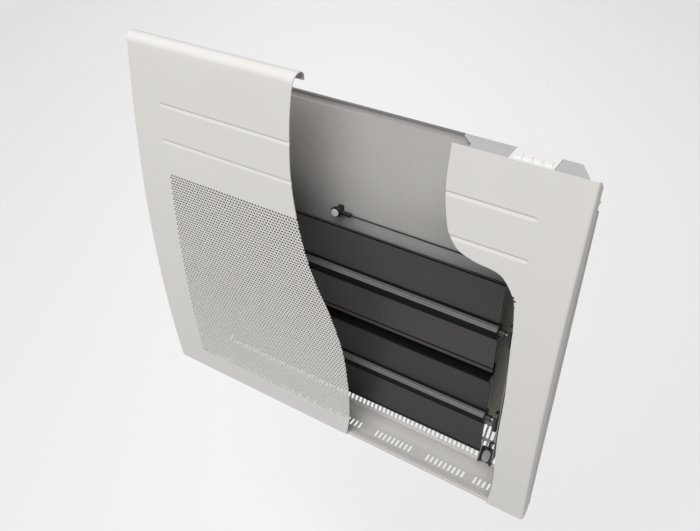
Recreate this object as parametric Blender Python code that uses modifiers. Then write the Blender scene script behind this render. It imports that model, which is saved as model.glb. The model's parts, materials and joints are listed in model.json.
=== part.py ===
"""Wall-hung electric radiant panel heater, shown cut away.

Metres, +Z up, front towards -Y. The origin is the middle of the wall bracket's
rear face, so the wall is the plane Y = 0. Sizes are given as depths behind the
foremost line of the bowed front and as levels above the bottom tray.
"""

import math

import bmesh
import bpy
from mathutils import Matrix, Vector

# Whole heater
FACE_WIDTH = 0.502
FACE_TOP = 0.452
FACE_BOTTOM = -0.0035
FACE_RADIUS = 1.76
BULGE_LEVEL = 0.214
HALF_WIDTH = FACE_WIDTH / 2
BODY_DEPTH = 0.088
WALL_SPACE = 0.018
WALL_DEPTH = BODY_DEPTH + WALL_SPACE
MOUNT_LEVEL = 0.215
SHEET = 0.001
GAP = 0.0003
OVERRUN = 0.012

# Front sheet: rolled top, folded edges, pressed grooves, perforated field
ROLL_RADIUS = 0.010
ROLL_TURN = math.radians(180)
ROLL_STEPS = 8
RIGHT_TOP = 0.430
CORNER_RADIUS = 0.003
RETURN_DEPTH = 0.015
RETURN_MITRE = 0.012
FOOT_FOLD = 0.013
FOOT_RADIUS = 0.0008
GROOVE_LEVELS = (0.3852, 0.3442)
GROOVE_REACH = HALF_WIDTH - 0.0434
GROOVE_RAMP = 0.0015
GROOVE_HALF = 0.0010
GROOVE_DEPTH = 0.0009
FIELD_REACH = GROOVE_REACH - 0.0026
FIELD_BOTTOM = 0.031
FIELD_TOP = 0.306
HOLE_PITCH = 0.0195
HOLE_ROW = 0.0162
HOLE_RADIUS = 0.0036
HOLE_SIDES = 6
HOLE_MARGIN = 0.004
ROWS_PER_STRIP = 3

# Edges of the cut-away, as shares of the front's width and of its top level
LEFT_CUT_SHARES = (
    (-0.0600, 1.060), (-0.0745, 1.000), (-0.0806, 0.940), (-0.0817, 0.860),
    (-0.0765, 0.757), (-0.0558, 0.635), (-0.0277, 0.535), (0.0038, 0.460),
    (0.0279, 0.394), (0.0468, 0.319), (0.0546, 0.232), (0.0568, 0.157),
    (0.0520, 0.069), (0.0422, 0.007), (0.0380, -0.030),
)
RIGHT_CUT_SHARES = (
    (0.2520, 1.000), (0.2494, 0.915), (0.2504, 0.860), (0.2562, 0.814),
    (0.2647, 0.773), (0.2769, 0.750), (0.2928, 0.734), (0.3227, 0.723),
    (0.3524, 0.719), (0.3719, 0.713), (0.3851, 0.700), (0.3970, 0.681),
    (0.4062, 0.656), (0.4127, 0.596), (0.4141, 0.557), (0.4199, 0.415),
    (0.4190, 0.261), (0.4229, 0.106), (0.4151, 0.009), (0.4120, -0.030),
)
CUT_SPAN_STEPS = 3

# Casing: back panel with a hemmed top, flared side panels
HEM_LEVEL = 0.3915
HEM_STEP = 0.0025
BACK_TOP = 0.400
FLARE_REACH = HALF_WIDTH - 0.032
SIDE_FRONT = 0.018
SIDE_KNEE = (BODY_DEPTH - 0.010) / 2
REAR_FOLD = 0.016

# Bottom grille: flat front with slotted pads, slanted slotted rear
TRAY_LEVEL = 0.001
TRAY_LIP = FACE_BOTTOM + SHEET + GAP
SLANT_START = (BODY_DEPTH + 0.034) / 2
SLANT_TOP = 0.038
TAB_REACH = FLARE_REACH - 0.019
TAB_HEIGHT = 0.012
PAD_PITCH = (FACE_WIDTH - 0.0085) / 7
PAD_OFFSET = 0.0045
PAD_HALF = PAD_PITCH / 2 - 0.00575
PAD_FRONT = 0.021
PAD_BACK = SLANT_START - 0.014
PAD_SLOPE = 0.003
PAD_DROP = 0.001
PADS_EACH_SIDE = 2
END_PAD_START = 2 * PAD_PITCH + 0.0375
END_PAD_END = FLARE_REACH - 0.006
SLOT_PITCH = 0.0058
SLOT_WIDTH = 0.0030
SLOT_FRONT = PAD_FRONT + 0.007
SLOT_BACK = PAD_BACK - 0.0085
REAR_SLOT_PITCH = 0.0117
REAR_SLOT_WIDTH = 0.0060
REAR_SLOT_REACH = FLARE_REACH - 0.014
REAR_ROWS = ((0.0020, 0.0250), (0.0285, 0.0440))

# Heating body: two extruded plates on tubular elements
PLATE_REACH = HALF_WIDTH - 0.070
PLATE_DEPTH = BODY_DEPTH - 0.043
PLATE_THICK = 0.002
CREASE = 0.0020
TOP_LIP = 0.0008
MIDDLE_LIP = 0.0042
BOTTOM_LIP = 0.0018
UPPER_PLATE = (0.1635, 0.2815)
LOWER_PLATE = (0.0363, 0.1478)
UPPER_TUBE = UPPER_PLATE[0] + 0.0568
LOWER_TUBE = LOWER_PLATE[0] + 0.0587
TUBE_RADIUS = 0.0095
TUBE_STEPS = 8
BOSS_STEPS = 4
BOSS_EDGE = math.radians(30)
BOSS_FOOT = 0.0113
ROD_RADIUS = 0.0038
FIN_DEPTH = 0.006
FIN_THICK = 0.0012
FIN_PITCH = 0.0135
FIN_MARGIN = 0.004
RAIL_OVERLAP = 0.008
RAIL_DEPTH = 0.014
RAIL_SLOPE = 0.002
SLEEVE_START = PLATE_REACH - 0.001
SLEEVE_LENGTH = 0.0078
PIN_RADIUS = 0.0010
PIN_END = PLATE_REACH + 0.0255
BUSH_START = PLATE_REACH + 0.011
BUSH_FLANGE = 0.0040
BUSH_HEIGHT = 0.028
BUSH_WIDTH = 0.015
BUSH_BOSS_RADIUS = 0.0060
BUSH_NECK_RADIUS = 0.0042
BUSH_NECK_END = PLATE_REACH + 0.0215
BRACKET_FOOT_START = PLATE_REACH - 0.011
BRACKET_WEB = PLATE_REACH + 0.0185
BRACKET_FRONT = PLATE_DEPTH - 0.011
BRACKET_BOTTOM = LOWER_PLATE[0] + 0.0057
BRACKET_TOP = UPPER_PLATE[1] - 0.0195

# Thermal limiter on the back panel
LIMITER_X = -0.0320
LIMITER_LEVEL = 0.2743
LIMITER_FRONT = BODY_DEPTH - 0.0158
LIMITER_CAP_RADIUS = 0.0046
LIMITER_CAP_THICK = 0.0010
LIMITER_RING_RADIUS = 0.0062
LIMITER_RING_THICK = 0.0034
LIMITER_HOLDER_HALF = 0.0036
LIMITER_HOLDER_ABOVE = 0.0036
LIMITER_HOLDER_BELOW = 0.0046
LIMITER_SLEEVE_RADIUS = 0.0018
LIMITER_SLEEVE_LENGTH = 0.0125
LIMITER_LEAD_DEPTH = BODY_DEPTH - 0.0075
LIMITER_LEAD_LEVEL = LIMITER_LEVEL - 0.0027
LIMITER_LEAD_RADIUS = 0.0009

# Room sensor clipped on the slanted grille
SENSOR_X = FLARE_REACH - 0.0345
SENSOR_ALONG = 0.0105
HOLDER_WIDTH = 0.0160
HOLDER_LENGTH = 0.0190
HOLDER_THICK = 0.0018
HOLDER_ARM_WIDTH = 0.0020
HOLDER_ARM_HEIGHT = 0.0065
SENSOR_WIDTH = 0.0100
SENSOR_LENGTH = 0.0150
SENSOR_THICK = 0.0050
SENSOR_LEAD_RADIUS = 0.0008

# Control box in the upper right corner
BOX_BOTTOM = 0.3373
BOX_WALL = 0.002
BOX_FRONT = BODY_DEPTH - 0.058
BOX_LEFT = HALF_WIDTH - 0.125
BOX_RIGHT = HALF_WIDTH - 0.013
BOX_SIDE_GAP = 0.001
LID_THICK = 0.0015
LID_LEFT_FRONT = BOX_LEFT - 0.008
LID_LEFT_REAR = BOX_LEFT - 0.021
LID_LEFT_KNEE = BODY_DEPTH - 0.013
FASCIA_LEFT = BOX_LEFT + 0.0315
FASCIA_RIGHT = FASCIA_LEFT + 0.0425
FASCIA_FRONT = BOX_FRONT + 0.010
FASCIA_REAR = BODY_DEPTH - 0.0023
FASCIA_THICK = 0.0010
WINDOW_HALF = 0.0150
WINDOW_FRONT = FASCIA_FRONT + 0.005
WINDOW_REAR = WINDOW_FRONT + 0.015
WINDOW_THICK = 0.0020
KEY_WIDTH = 0.0064
KEY_LENGTH = 0.0080
KEY_DEPTH = BODY_DEPTH - 0.0135
KEY_PITCH = 0.0095
KEY_PROUD = 0.0010
KEY_TRAVEL = 0.0008
KEY_FLANGE = 0.0010
KEY_ROOT = 0.3925
KEY_NAMES = ("key_minus", "key_plus", "key_mode", "key_confirm")
ROCKER_X = FASCIA_RIGHT + 0.018
ROCKER_MIDDLE = BOX_FRONT + 0.016
ROCKER_HALF_WIDTH = 0.0060
ROCKER_HALF_LENGTH = 0.0088
ROCKER_PIVOT_DROP = 0.0025
ROCKER_CREST = 0.0024
ROCKER_VALLEY = 0.0012
ROCKER_ROOT = 0.0050
ROCKER_TILT = math.radians(7)
ROCKER_AXLE_RADIUS = 0.0010
ROCKER_AXLE_HALF = 0.0078
HOUSING_WALL = 0.0015
HOUSING_DEPTH = 0.0110
HOUSING_MARGIN = 0.0010
BOARD_LEVEL = 0.3830
BOARD_THICK = 0.0016
BOARD_RIGHT = FASCIA_RIGHT + 0.006
BOARD_MARGIN = 0.0010
SWITCH_HALF = 0.0025
RELAY_SIZE = (0.0200, 0.0155, 0.0140)
RELAY_X = BOX_LEFT + 0.015
RELAY_DEPTH = BOX_FRONT + 0.018
TERMINAL_SIZE = (0.0300, 0.0140, 0.0160)
POST_RADIUS = 0.0030
GLAND_X = BOX_LEFT + 0.019
GLAND_LEVEL = 0.3520
GLAND_RADIUS = 0.0055
GLAND_BORE = 0.0038
GLAND_FLANGE_RADIUS = 0.0080
GLAND_FLANGE_THICK = 0.0020
GLAND_REAR = BODY_DEPTH + 0.012

# Wiring inside the casing
LEAD_RADIUS = 0.0012
LEAD_BEND = 0.006
LEAD_RISE_DEPTH = BODY_DEPTH - 0.022
LEAD_XS = (PLATE_REACH + 0.0275, PLATE_REACH + 0.032)
SENSOR_LEAD_X = PLATE_REACH + 0.0235
LINK_X = PLATE_REACH + 0.032
ENTRY_HALF_DEPTH = 0.0040

# Wall bracket with hooks and quarter-turn locks
HANGER_X = GLAND_X - 0.035
HANGER_WEB_HALF = 0.016
HANGER_FOOT_HALF = 0.028
HANGER_SHEET = 0.0015
HANGER_FRONT = BODY_DEPTH + 0.0045
HANGER_BOTTOM = 0.060
HANGER_TOP = 0.366
CROSSBAR_HALF_HEIGHT = 0.015
HOOK_LEVELS = (0.085, 0.340)
HOOK_HALF_WIDTH = 0.008
HOOK_NECK = 0.003
HOOK_BLADE = 0.0015
HOOK_RISE = 0.010
HOOK_ENTRY = 0.002
WALL_SLOT_LEVELS = (0.075, 0.350)
WALL_SLOT_WIDTH = 0.005
WALL_SLOT_HEIGHT = 0.010
LOCK_DEPTH = BODY_DEPTH + 0.0092
LOCK_PIN_RADIUS = 0.0032
LOCK_PIN_DROP = 0.0080
LOCK_HEAD_RADIUS = 0.0055
LOCK_HEAD_HEIGHT = 0.0030
LOCK_TAB_HEIGHT = 0.0026
LOCK_TAB_HALF = 0.0022
LOCK_TAB_TIP = BODY_DEPTH - 0.002
LOCK_SLIT = 0.0012
LOCK_SLIT_DEPTH = 0.0015
LOCK_SLOT_MARGIN = 0.0008

# Small fasteners and the earth stud
SCREW_RADIUS = 0.0032
SCREW_HEIGHT = 0.0020
CASING_SCREW_X = FLARE_REACH - 0.0085
CASING_SCREW_LEVELS = (0.075, 0.200, 0.330)
FACADE_SCREW_XS = (0.051 - HALF_WIDTH, -0.070, HALF_WIDTH - 0.019)
FACADE_SCREW_DEPTH = 0.0215
EARTH_X = PLATE_REACH + 0.004
EARTH_LEVEL = 0.3150
EARTH_LENGTH = 0.0080

ROUND_SIDES = 14
SMALL_SIDES = 10
FLAT_ANGLE = math.radians(0.1)

SIDE_REACH = HALF_WIDTH - SHEET - GAP
SIDE_TOP = HEM_LEVEL - SHEET - GAP
SIDE_REAR = BODY_DEPTH + 2 * SHEET + GAP
BACK_REACH = FLARE_REACH - SHEET - GAP
FLARE_SLOPE = (SIDE_REACH - FLARE_REACH) / (SIDE_REAR - SIDE_KNEE)
FLARE_SKEW = math.hypot(1.0, FLARE_SLOPE)
SLANT_ANGLE = math.atan2(SLANT_TOP - TRAY_LEVEL, BODY_DEPTH - SLANT_START)
TAB_DEPTH = BODY_DEPTH + SHEET + GAP
BORE_RADIUS = ROD_RADIUS + GAP
TUBE_DEPTH = PLATE_DEPTH + PLATE_THICK / 2
TUBE_LEVELS = (UPPER_TUBE, LOWER_TUBE)
SLEEVE_END = SLEEVE_START + SLEEVE_LENGTH
BOX_REAR = BODY_DEPTH - GAP
LID_BOTTOM = BACK_TOP - LID_THICK
LID_REAR = BODY_DEPTH + HEM_STEP + SHEET
FASCIA_BOTTOM = BACK_TOP + GAP
FASCIA_TOP = FASCIA_BOTTOM + FASCIA_THICK
FASCIA_MIDDLE = (FASCIA_LEFT + FASCIA_RIGHT) / 2
BOARD_TOP = BOARD_LEVEL + BOARD_THICK
LOCK_BOTTOM = HANGER_TOP + GAP


def deep(depth):
    """World Y of a depth behind the front's foremost line."""
    return depth - WALL_DEPTH


def up(level):
    """World Z of a level above the tray."""
    return level - MOUNT_LEVEL


def face_depth(level):
    """Depth of the bowed front at a level."""
    return FACE_RADIUS - math.sqrt(FACE_RADIUS ** 2 - (level - BULGE_LEVEL) ** 2)


TRAY_FRONT = face_depth(FACE_BOTTOM) + SHEET + 2 * GAP


def side_line(depth):
    """Outer half width of the flared side panel at a depth."""
    return SIDE_REACH - FLARE_SLOPE * max(0.0, depth - SIDE_KNEE)


def slant_level(depth):
    """Level of the slanted grille's inner face at a depth."""
    return TRAY_LEVEL + (depth - SLANT_START) * math.tan(SLANT_ANGLE)


def slant_point(along, off=0.0):
    """Depth and level of a point up the slanted grille, off its inner face."""
    run, rise = math.cos(SLANT_ANGLE), math.sin(SLANT_ANGLE)
    return (SLANT_START + along * run - off * rise, TRAY_LEVEL + along * rise + off * run)


BACK_BOTTOM = slant_level(TAB_DEPTH) + GAP


def make_collection(name):
    collection = bpy.data.collections.new(name)
    bpy.context.scene.collection.children.link(collection)
    return collection


def make_material(name, colour, roughness, metallic=0.0):
    material = bpy.data.materials.new(name)
    material.use_nodes = True
    shader = material.node_tree.nodes["Principled BSDF"]
    shader.inputs["Base Color"].default_value = (*colour, 1.0)
    shader.inputs["Roughness"].default_value = roughness
    shader.inputs["Metallic"].default_value = metallic
    material.diffuse_color = (*colour, 1.0)
    return material


def add_object(name, mesh, material=None, collection=None):
    item = bpy.data.objects.new(name, mesh)
    (collection or PARTS).objects.link(item)
    if material:
        mesh.materials.append(material)
    if collection is CUTTERS:
        item.hide_render = True
        item.display_type = "WIRE"
    return item


def from_bmesh(name, bm, material=None, collection=None, closed=True):
    if closed:
        bmesh.ops.recalc_face_normals(bm, faces=bm.faces)
    mesh = bpy.data.meshes.new(name)
    bm.to_mesh(mesh)
    bm.free()
    return add_object(name, mesh, material, collection)


def block_into(bm, xs, depths, levels):
    """Add a box from its ranges of X, depth and level."""
    low = Vector((xs[0], deep(depths[0]), up(levels[0])))
    high = Vector((xs[1], deep(depths[1]), up(levels[1])))
    place = Matrix.Translation((low + high) / 2) @ Matrix.Diagonal((*(high - low), 1.0))
    bmesh.ops.create_cube(bm, size=1.0, matrix=place)


def slant_block_into(bm, xs, alongs, offs):
    """Add a box in the slanted grille's own directions."""
    middle = slant_point(sum(alongs) / 2, sum(offs) / 2)
    place = Matrix.Translation((sum(xs) / 2, deep(middle[0]), up(middle[1])))
    size = (xs[1] - xs[0], alongs[1] - alongs[0], offs[1] - offs[0])
    turn = Matrix.Rotation(SLANT_ANGLE, 4, "X")
    bmesh.ops.create_cube(bm, size=1.0, matrix=place @ turn @ Matrix.Diagonal((*size, 1.0)))


def round_into(bm, start, end, radius, sides=ROUND_SIDES):
    """Add a cylinder between two points given as X, depth and level."""
    start = Vector((start[0], deep(start[1]), up(start[2])))
    end = Vector((end[0], deep(end[1]), up(end[2])))
    turn = (end - start).to_track_quat("Z", "X").to_matrix().to_4x4()
    bmesh.ops.create_cone(
        bm, cap_ends=True, segments=sides, radius1=radius, radius2=radius,
        depth=(end - start).length, matrix=Matrix.Translation((start + end) / 2) @ turn,
    )


def block(name, xs, depths, levels, material=None, collection=None):
    bm = bmesh.new()
    block_into(bm, xs, depths, levels)
    return from_bmesh(name, bm, material, collection)


def rod(name, start, end, radius, material=None, collection=None, sides=ROUND_SIDES):
    bm = bmesh.new()
    round_into(bm, start, end, radius, sides)
    return from_bmesh(name, bm, material, collection)


def to_mesh_object(item, material=None, collection=None):
    """Turn a curve object into a welded mesh object at the same place."""
    bpy.context.view_layer.update()
    name, place = item.name, item.matrix_world.copy()
    graph = bpy.context.evaluated_depsgraph_get()
    mesh = bpy.data.meshes.new_from_object(item.evaluated_get(graph))
    bpy.data.objects.remove(item)
    bm = bmesh.new()
    bm.from_mesh(mesh)
    bpy.data.meshes.remove(mesh)
    bmesh.ops.remove_doubles(bm, verts=bm.verts, dist=GAP / 100)
    bm.transform(place)
    return from_bmesh(name, bm, material, collection)


# The planes that outlines are drawn on, with the outline's own X and Y first
PLANE_XZ = Matrix(((1, 0, 0, 0), (0, 0, -1, 0), (0, 1, 0, 0), (0, 0, 0, 1)))
PLANE_YZ = Matrix(((0, 0, 1, 0), (1, 0, 0, 0), (0, 1, 0, 0), (0, 0, 0, 1)))
PLANE_XY = Matrix.Identity(4)


def outline_solid(name, loops, plane, middle, thickness, material=None, collection=None):
    """Solid of a flat outline, the loops after the first being holes."""
    curve = bpy.data.curves.new(name, "CURVE")
    curve.dimensions = "2D"
    curve.fill_mode = "BOTH"
    curve.extrude = thickness / 2
    for loop in loops:
        spline = curve.splines.new("POLY")
        spline.points.add(len(loop) - 1)
        for point, (across, along) in zip(spline.points, loop):
            point.co = (across, along, 0.0, 1.0)
        spline.use_cyclic_u = True
    item = bpy.data.objects.new(name, curve)
    PARTS.objects.link(item)
    item.matrix_world = Matrix.Translation(middle) @ plane
    return to_mesh_object(item, material, collection)


def plan_solid(name, plan, levels, material=None, collection=None):
    """Solid of an outline in X and depth between two levels."""
    loop = [(x, deep(depth)) for x, depth in plan]
    middle = (0.0, 0.0, up(sum(levels) / 2))
    return outline_solid(name, [loop], PLANE_XY, middle, levels[1] - levels[0], material, collection)


def circle(centre, radius, sides=ROUND_SIDES):
    turns = [2 * math.pi * step / sides for step in range(sides)]
    return [(centre[0] + radius * math.cos(t), centre[1] + radius * math.sin(t)) for t in turns]


def arc(centre, radius, start, end, steps):
    """Points of an arc, both ends included, angles in radians."""
    turns = [start + (end - start) * step / steps for step in range(steps + 1)]
    return [(centre[0] + radius * math.cos(t), centre[1] + radius * math.sin(t)) for t in turns]


def stadium(width, height):
    """Upright outline with half-round ends about the origin."""
    radius = width / 2
    straight = height / 2 - radius
    upper = arc((0.0, straight), radius, 0.0, math.pi, SMALL_SIDES // 2)
    return upper + [(-across, -along) for across, along in upper]


def smooth_line(points, steps):
    """Points of a smooth curve through the given ones."""
    line = []
    ends = [points[0]] + list(points) + [points[-1]]
    for a, b, c, d in zip(ends, ends[1:], ends[2:], ends[3:]):
        for step in range(steps):
            t = step / steps
            line.append(tuple(
                0.5 * (2 * q + (r - p) * t + (2 * p - 5 * q + 4 * r - s) * t * t
                       + (3 * q - p - 3 * r + s) * t ** 3)
                for p, q, r, s in zip(a, b, c, d)))
    return line + [tuple(points[-1])]


def bent_route(points, radius, steps=3):
    """Route of straight runs joined by round bends."""
    route = [Vector(points[0])]
    for before, corner, after in zip(points, points[1:], points[2:]):
        corner = Vector(corner)
        back = (Vector(before) - corner).normalized()
        ahead = (Vector(after) - corner).normalized()
        reach = radius * math.tan((math.pi - back.angle(ahead)) / 2)
        start, end = corner + back * reach, corner + ahead * reach
        for step in range(steps + 1):
            t = step / steps
            route.append(start * (1 - t) ** 2 + corner * 2 * t * (1 - t) + end * t * t)
    return route + [Vector(points[-1])]


def wire(name, points, radius, material):
    """Insulated lead along points given as X, depth and level."""
    curve = bpy.data.curves.new(name, "CURVE")
    curve.dimensions = "3D"
    curve.bevel_depth = radius
    curve.bevel_resolution = 1
    curve.use_fill_caps = True
    route = bent_route(points, LEAD_BEND)
    spline = curve.splines.new("POLY")
    spline.points.add(len(route) - 1)
    for point, (x, depth, level) in zip(spline.points, route):
        point.co = (x, deep(depth), up(level), 1.0)
    item = bpy.data.objects.new(name, curve)
    PARTS.objects.link(item)
    return to_mesh_object(item, material)


def cut(item, cutter, operation="DIFFERENCE"):
    change = item.modifiers.new(cutter.name, "BOOLEAN")
    change.operation = operation
    change.solver = "EXACT"
    change.object = cutter
    return item


def unite(item, *others):
    """Fuse other solids into an object and keep them as hidden tools."""
    for other in others:
        for owner in list(other.users_collection):
            owner.objects.unlink(other)
        CUTTERS.objects.link(other)
        other.hide_render = True
        other.display_type = "WIRE"
        cut(item, other, "UNION")
    return item


def bent_sheet(name, section, stations, place, facing, material, thickness=SHEET, drop=None,
               flat=True):
    """Folded sheet: a section carried along stations.

    place(point, station) gives where a section point lies at a station, and
    drop(column, row) tells which cells of the sheet are notched away. The
    modelled surface faces the way of facing, with the thickness behind it.
    A sheet with flat stretches has their cells merged.
    """
    bm = bmesh.new()
    bmesh.ops.create_grid(bm, x_segments=len(stations) - 1, y_segments=len(section) - 1, size=1.0)
    verts = sorted(bm.verts, key=lambda vert: (round(vert.co.x, 4), round(vert.co.y, 4)))
    spots = [(column, row) for column in range(len(stations)) for row in range(len(section))]
    seats = dict(zip(verts, spots))
    notched = []
    for face in bm.faces:
        column = min(seats[vert][0] for vert in face.verts)
        row = min(seats[vert][1] for vert in face.verts)
        if drop and drop(column, row):
            notched.append(face)
    for vert, (column, row) in seats.items():
        x, depth, level = place(section[row], stations[column])
        vert.co = (x, deep(depth), up(level))
    bmesh.ops.delete(bm, geom=notched, context="FACES")
    if flat:
        bmesh.ops.dissolve_limit(bm, angle_limit=FLAT_ANGLE, use_dissolve_boundaries=False,
                                 verts=bm.verts, edges=bm.edges)
    bmesh.ops.recalc_face_normals(bm, faces=bm.faces)
    lean = sum((face.normal * face.calc_area() for face in bm.faces), Vector())
    if lean.dot(Vector(facing)) < 0:
        bmesh.ops.reverse_faces(bm, faces=bm.faces)
    item = from_bmesh(name, bm, material, closed=False)
    thick = item.modifiers.new("thickness", "SOLIDIFY")
    thick.thickness = thickness
    thick.offset = -1.0
    thick.use_even_offset = True
    return item


def roll_line():
    """Section of the rolled top, from its seat on the bow to its free end."""
    lean = math.asin((FACE_TOP - ROLL_RADIUS - BULGE_LEVEL) / FACE_RADIUS)
    seat = FACE_TOP - ROLL_RADIUS * (1 - math.sin(lean))
    centre = (face_depth(seat) + ROLL_RADIUS * math.cos(lean), seat - ROLL_RADIUS * math.sin(lean))
    start = math.pi - lean
    return seat, arc(centre, ROLL_RADIUS, start, start - ROLL_TURN, ROLL_STEPS)


def face_section(top, roll=()):
    """Section of the front sheet: depth, level and share of the side bend."""
    foot = face_depth(FACE_BOTTOM)
    line = [(foot + FOOT_FOLD, FACE_BOTTOM, 1.0), (foot + FOOT_RADIUS, FACE_BOTTOM, 1.0)]
    strip = ROWS_PER_STRIP * HOLE_ROW
    levels = {FACE_BOTTOM + FOOT_RADIUS, FIELD_TOP, top}
    levels.update(FIELD_BOTTOM + strip * step for step in range(int((FIELD_TOP - FIELD_BOTTOM) / strip) + 1))
    for groove in GROOVE_LEVELS:
        levels.update((groove - GROOVE_HALF, groove, groove + GROOVE_HALF))
    line += [(face_depth(level), level, 1.0) for level in sorted(levels) if level <= top]
    return line + [(depth, level, 0.0) for depth, level in roll]


def edge_stations(side):
    """X, set-back and whether it bends, from the folded edge to the flat front."""
    bend = [(math.cos(t), math.sin(t)) for t in (0.0, math.pi / 4, math.pi / 2)]
    stations = [(side * HALF_WIDTH, RETURN_DEPTH)]
    for across, along in bend:
        inset = CORNER_RADIUS * (1 - across)
        stations.append((side * (HALF_WIDTH - inset), CORNER_RADIUS * (1 - along)))
    stations.append((side * (GROOVE_REACH + GROOVE_RAMP), 0.0))
    stations.append((side * GROOVE_REACH, 0.0))
    return stations


def face_point(point, station):
    depth, level, bend = point
    x, back = station
    if level in GROOVE_LEVELS and abs(x) <= GROOVE_REACH:
        depth += GROOVE_DEPTH
    return (x, depth + back * bend, level)


def cut_line(shares):
    return smooth_line([(x * FACE_WIDTH, level * FACE_TOP) for x, level in shares], CUT_SPAN_STEPS)


def face_cutter(name, line, side):
    """Solid that takes the front away beyond a cut line."""
    reach = side * 2 * FACE_WIDTH
    loop = line + [(reach, line[-1][1]), (reach, line[0][1])]
    loop = [(x, up(level)) for x, level in loop]
    middle = (0.0, deep(SLANT_START / 2), 0.0)
    return outline_solid(name, [loop], PLANE_XZ, middle, 2 * SLANT_START, None, CUTTERS)


def clear_reach(line, level):
    """Least X of a cut line near a level."""
    near = [x for x, height in line if abs(height - level) < HOLE_ROW]
    return min(near) if near else FIELD_REACH


def perforation(line):
    """Staggered holes of the left piece, clear of its cut edge."""
    bm = bmesh.new()
    rows = int((FIELD_TOP - FIELD_BOTTOM) / HOLE_ROW)
    columns = int(2 * FIELD_REACH / HOLE_PITCH)
    for row in range(rows):
        level = FIELD_BOTTOM + HOLE_ROW * (row + 1 / 2)
        limit = clear_reach(line, level) - HOLE_MARGIN - HOLE_RADIUS
        for column in range(columns):
            x = HOLE_MARGIN + HOLE_RADIUS - FIELD_REACH + HOLE_PITCH * (column + (row % 2) / 2)
            if x < limit:
                depth = face_depth(level)
                start, end = (x, depth - OVERRUN / 2, level), (x, depth + OVERRUN / 2, level)
                round_into(bm, start, end, HOLE_RADIUS, HOLE_SIDES)
    return from_bmesh("perforation", bm, None, CUTTERS)


def front_panel_left(material):
    seat, roll = roll_line()
    line = cut_line(LEFT_CUT_SHARES)
    section = face_section(seat, roll[1:])
    stations = edge_stations(-1) + [(max(x for x, level in line) + OVERRUN, 0.0)]
    bow_rows = len(section) - ROLL_STEPS
    panel = bent_sheet(
        "front_panel_left", section, stations, face_point, (0.0, -1.0, 0.0), material, flat=False,
        drop=lambda column, row: (column < 3 and row < 2) or (column == 0 and row >= bow_rows - 1))
    cut(panel, face_cutter("left_cut", line, 1))
    return cut(panel, perforation(line))


def mitred_point(point, station):
    """Point of the narrow piece, whose fold runs down to its rear at the top."""
    x, depth, level = face_point(point, station)
    if level == RIGHT_TOP and station[1] == RETURN_DEPTH:
        level -= RETURN_MITRE
    return (x, depth, level)


def front_panel_right(material):
    line = cut_line(RIGHT_CUT_SHARES)
    stations = [(min(x for x, level in line) - OVERRUN, 0.0)] + edge_stations(1)[::-1]
    last = len(stations) - 2
    panel = bent_sheet(
        "front_panel_right", face_section(RIGHT_TOP), stations, mitred_point, (0.0, -1.0, 0.0),
        material, flat=False, drop=lambda column, row: column > last - 3 and row < 2)
    return cut(panel, face_cutter("right_cut", line, -1))


def back_panel(material):
    """Rear sheet with a stepped hem, slotted for the hooks and the locks."""
    rear = BODY_DEPTH + HEM_STEP
    hem = BACK_TOP - SHEET
    section = [(BODY_DEPTH, BACK_BOTTOM), (BODY_DEPTH, HEM_LEVEL), (rear, HEM_LEVEL),
               (rear, hem), (BODY_DEPTH, hem)]
    panel = bent_sheet(
        "back_panel", section, (-BACK_REACH, BACK_REACH),
        lambda point, x: (x, point[0], point[1]), (0.0, -1.0, 0.0), material)
    through = (BODY_DEPTH - OVERRUN, BODY_DEPTH + OVERRUN)
    bm = bmesh.new()
    for side in (-1, 1):
        for level in HOOK_LEVELS:
            reach = HOOK_HALF_WIDTH + GAP
            xs = (side * HANGER_X - reach, side * HANGER_X + reach)
            block_into(bm, xs, through, (level - HOOK_ENTRY, level + HOOK_NECK + GAP))
        inner, outer = HANGER_X - lock_sweep(), HANGER_X + LOCK_TAB_HALF + LOCK_SLOT_MARGIN
        low = LOCK_BOTTOM - LOCK_SLOT_MARGIN
        high = LOCK_BOTTOM + LOCK_TAB_HEIGHT + LOCK_SLOT_MARGIN
        block_into(bm, sorted((side * inner, side * outer)), through, (low, high))
    top = BACK_TOP + OVERRUN
    block_into(bm, (BOX_LEFT - GAP, FACE_WIDTH), through, (SIDE_TOP, top))
    reach = GLAND_RADIUS + GAP
    round_into(bm, (GLAND_X, through[0], GLAND_LEVEL), (GLAND_X, through[1], GLAND_LEVEL), reach)
    cut(panel, from_bmesh("back_cuts", bm, None, CUTTERS))
    return cut(panel, block("lid_seat", (LID_LEFT_REAR - GAP, BOX_LEFT), through,
                            (LID_BOTTOM - GAP, top), None, CUTTERS))


def lock_sweep():
    """Room that a lock's tab needs beside its axis where it leaves the back panel."""
    reach = LOCK_DEPTH - LOCK_TAB_TIP
    away = LOCK_DEPTH - BODY_DEPTH - SHEET
    return math.sqrt(reach ** 2 - away ** 2) + LOCK_TAB_HALF + LOCK_SLOT_MARGIN


def side_panel(side, material):
    """Flared end of the casing, its foot folded behind the back panel."""
    name = "side_panel_right" if side > 0 else "side_panel_left"
    section = [(SIDE_REACH, SIDE_FRONT), (SIDE_REACH, SIDE_KNEE), (side_line(SLANT_START), SLANT_START),
               (FLARE_REACH, SIDE_REAR), (FLARE_REACH - REAR_FOLD, SIDE_REAR)]

    def place(point, top):
        x, depth = point
        level = SIDE_TOP if top else max(TRAY_LEVEL, slant_level(depth)) + 2 * GAP
        return (side * x, depth, level)

    return bent_sheet(name, section, (False, True), place, (side, 0.0, 0.0), material)


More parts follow.
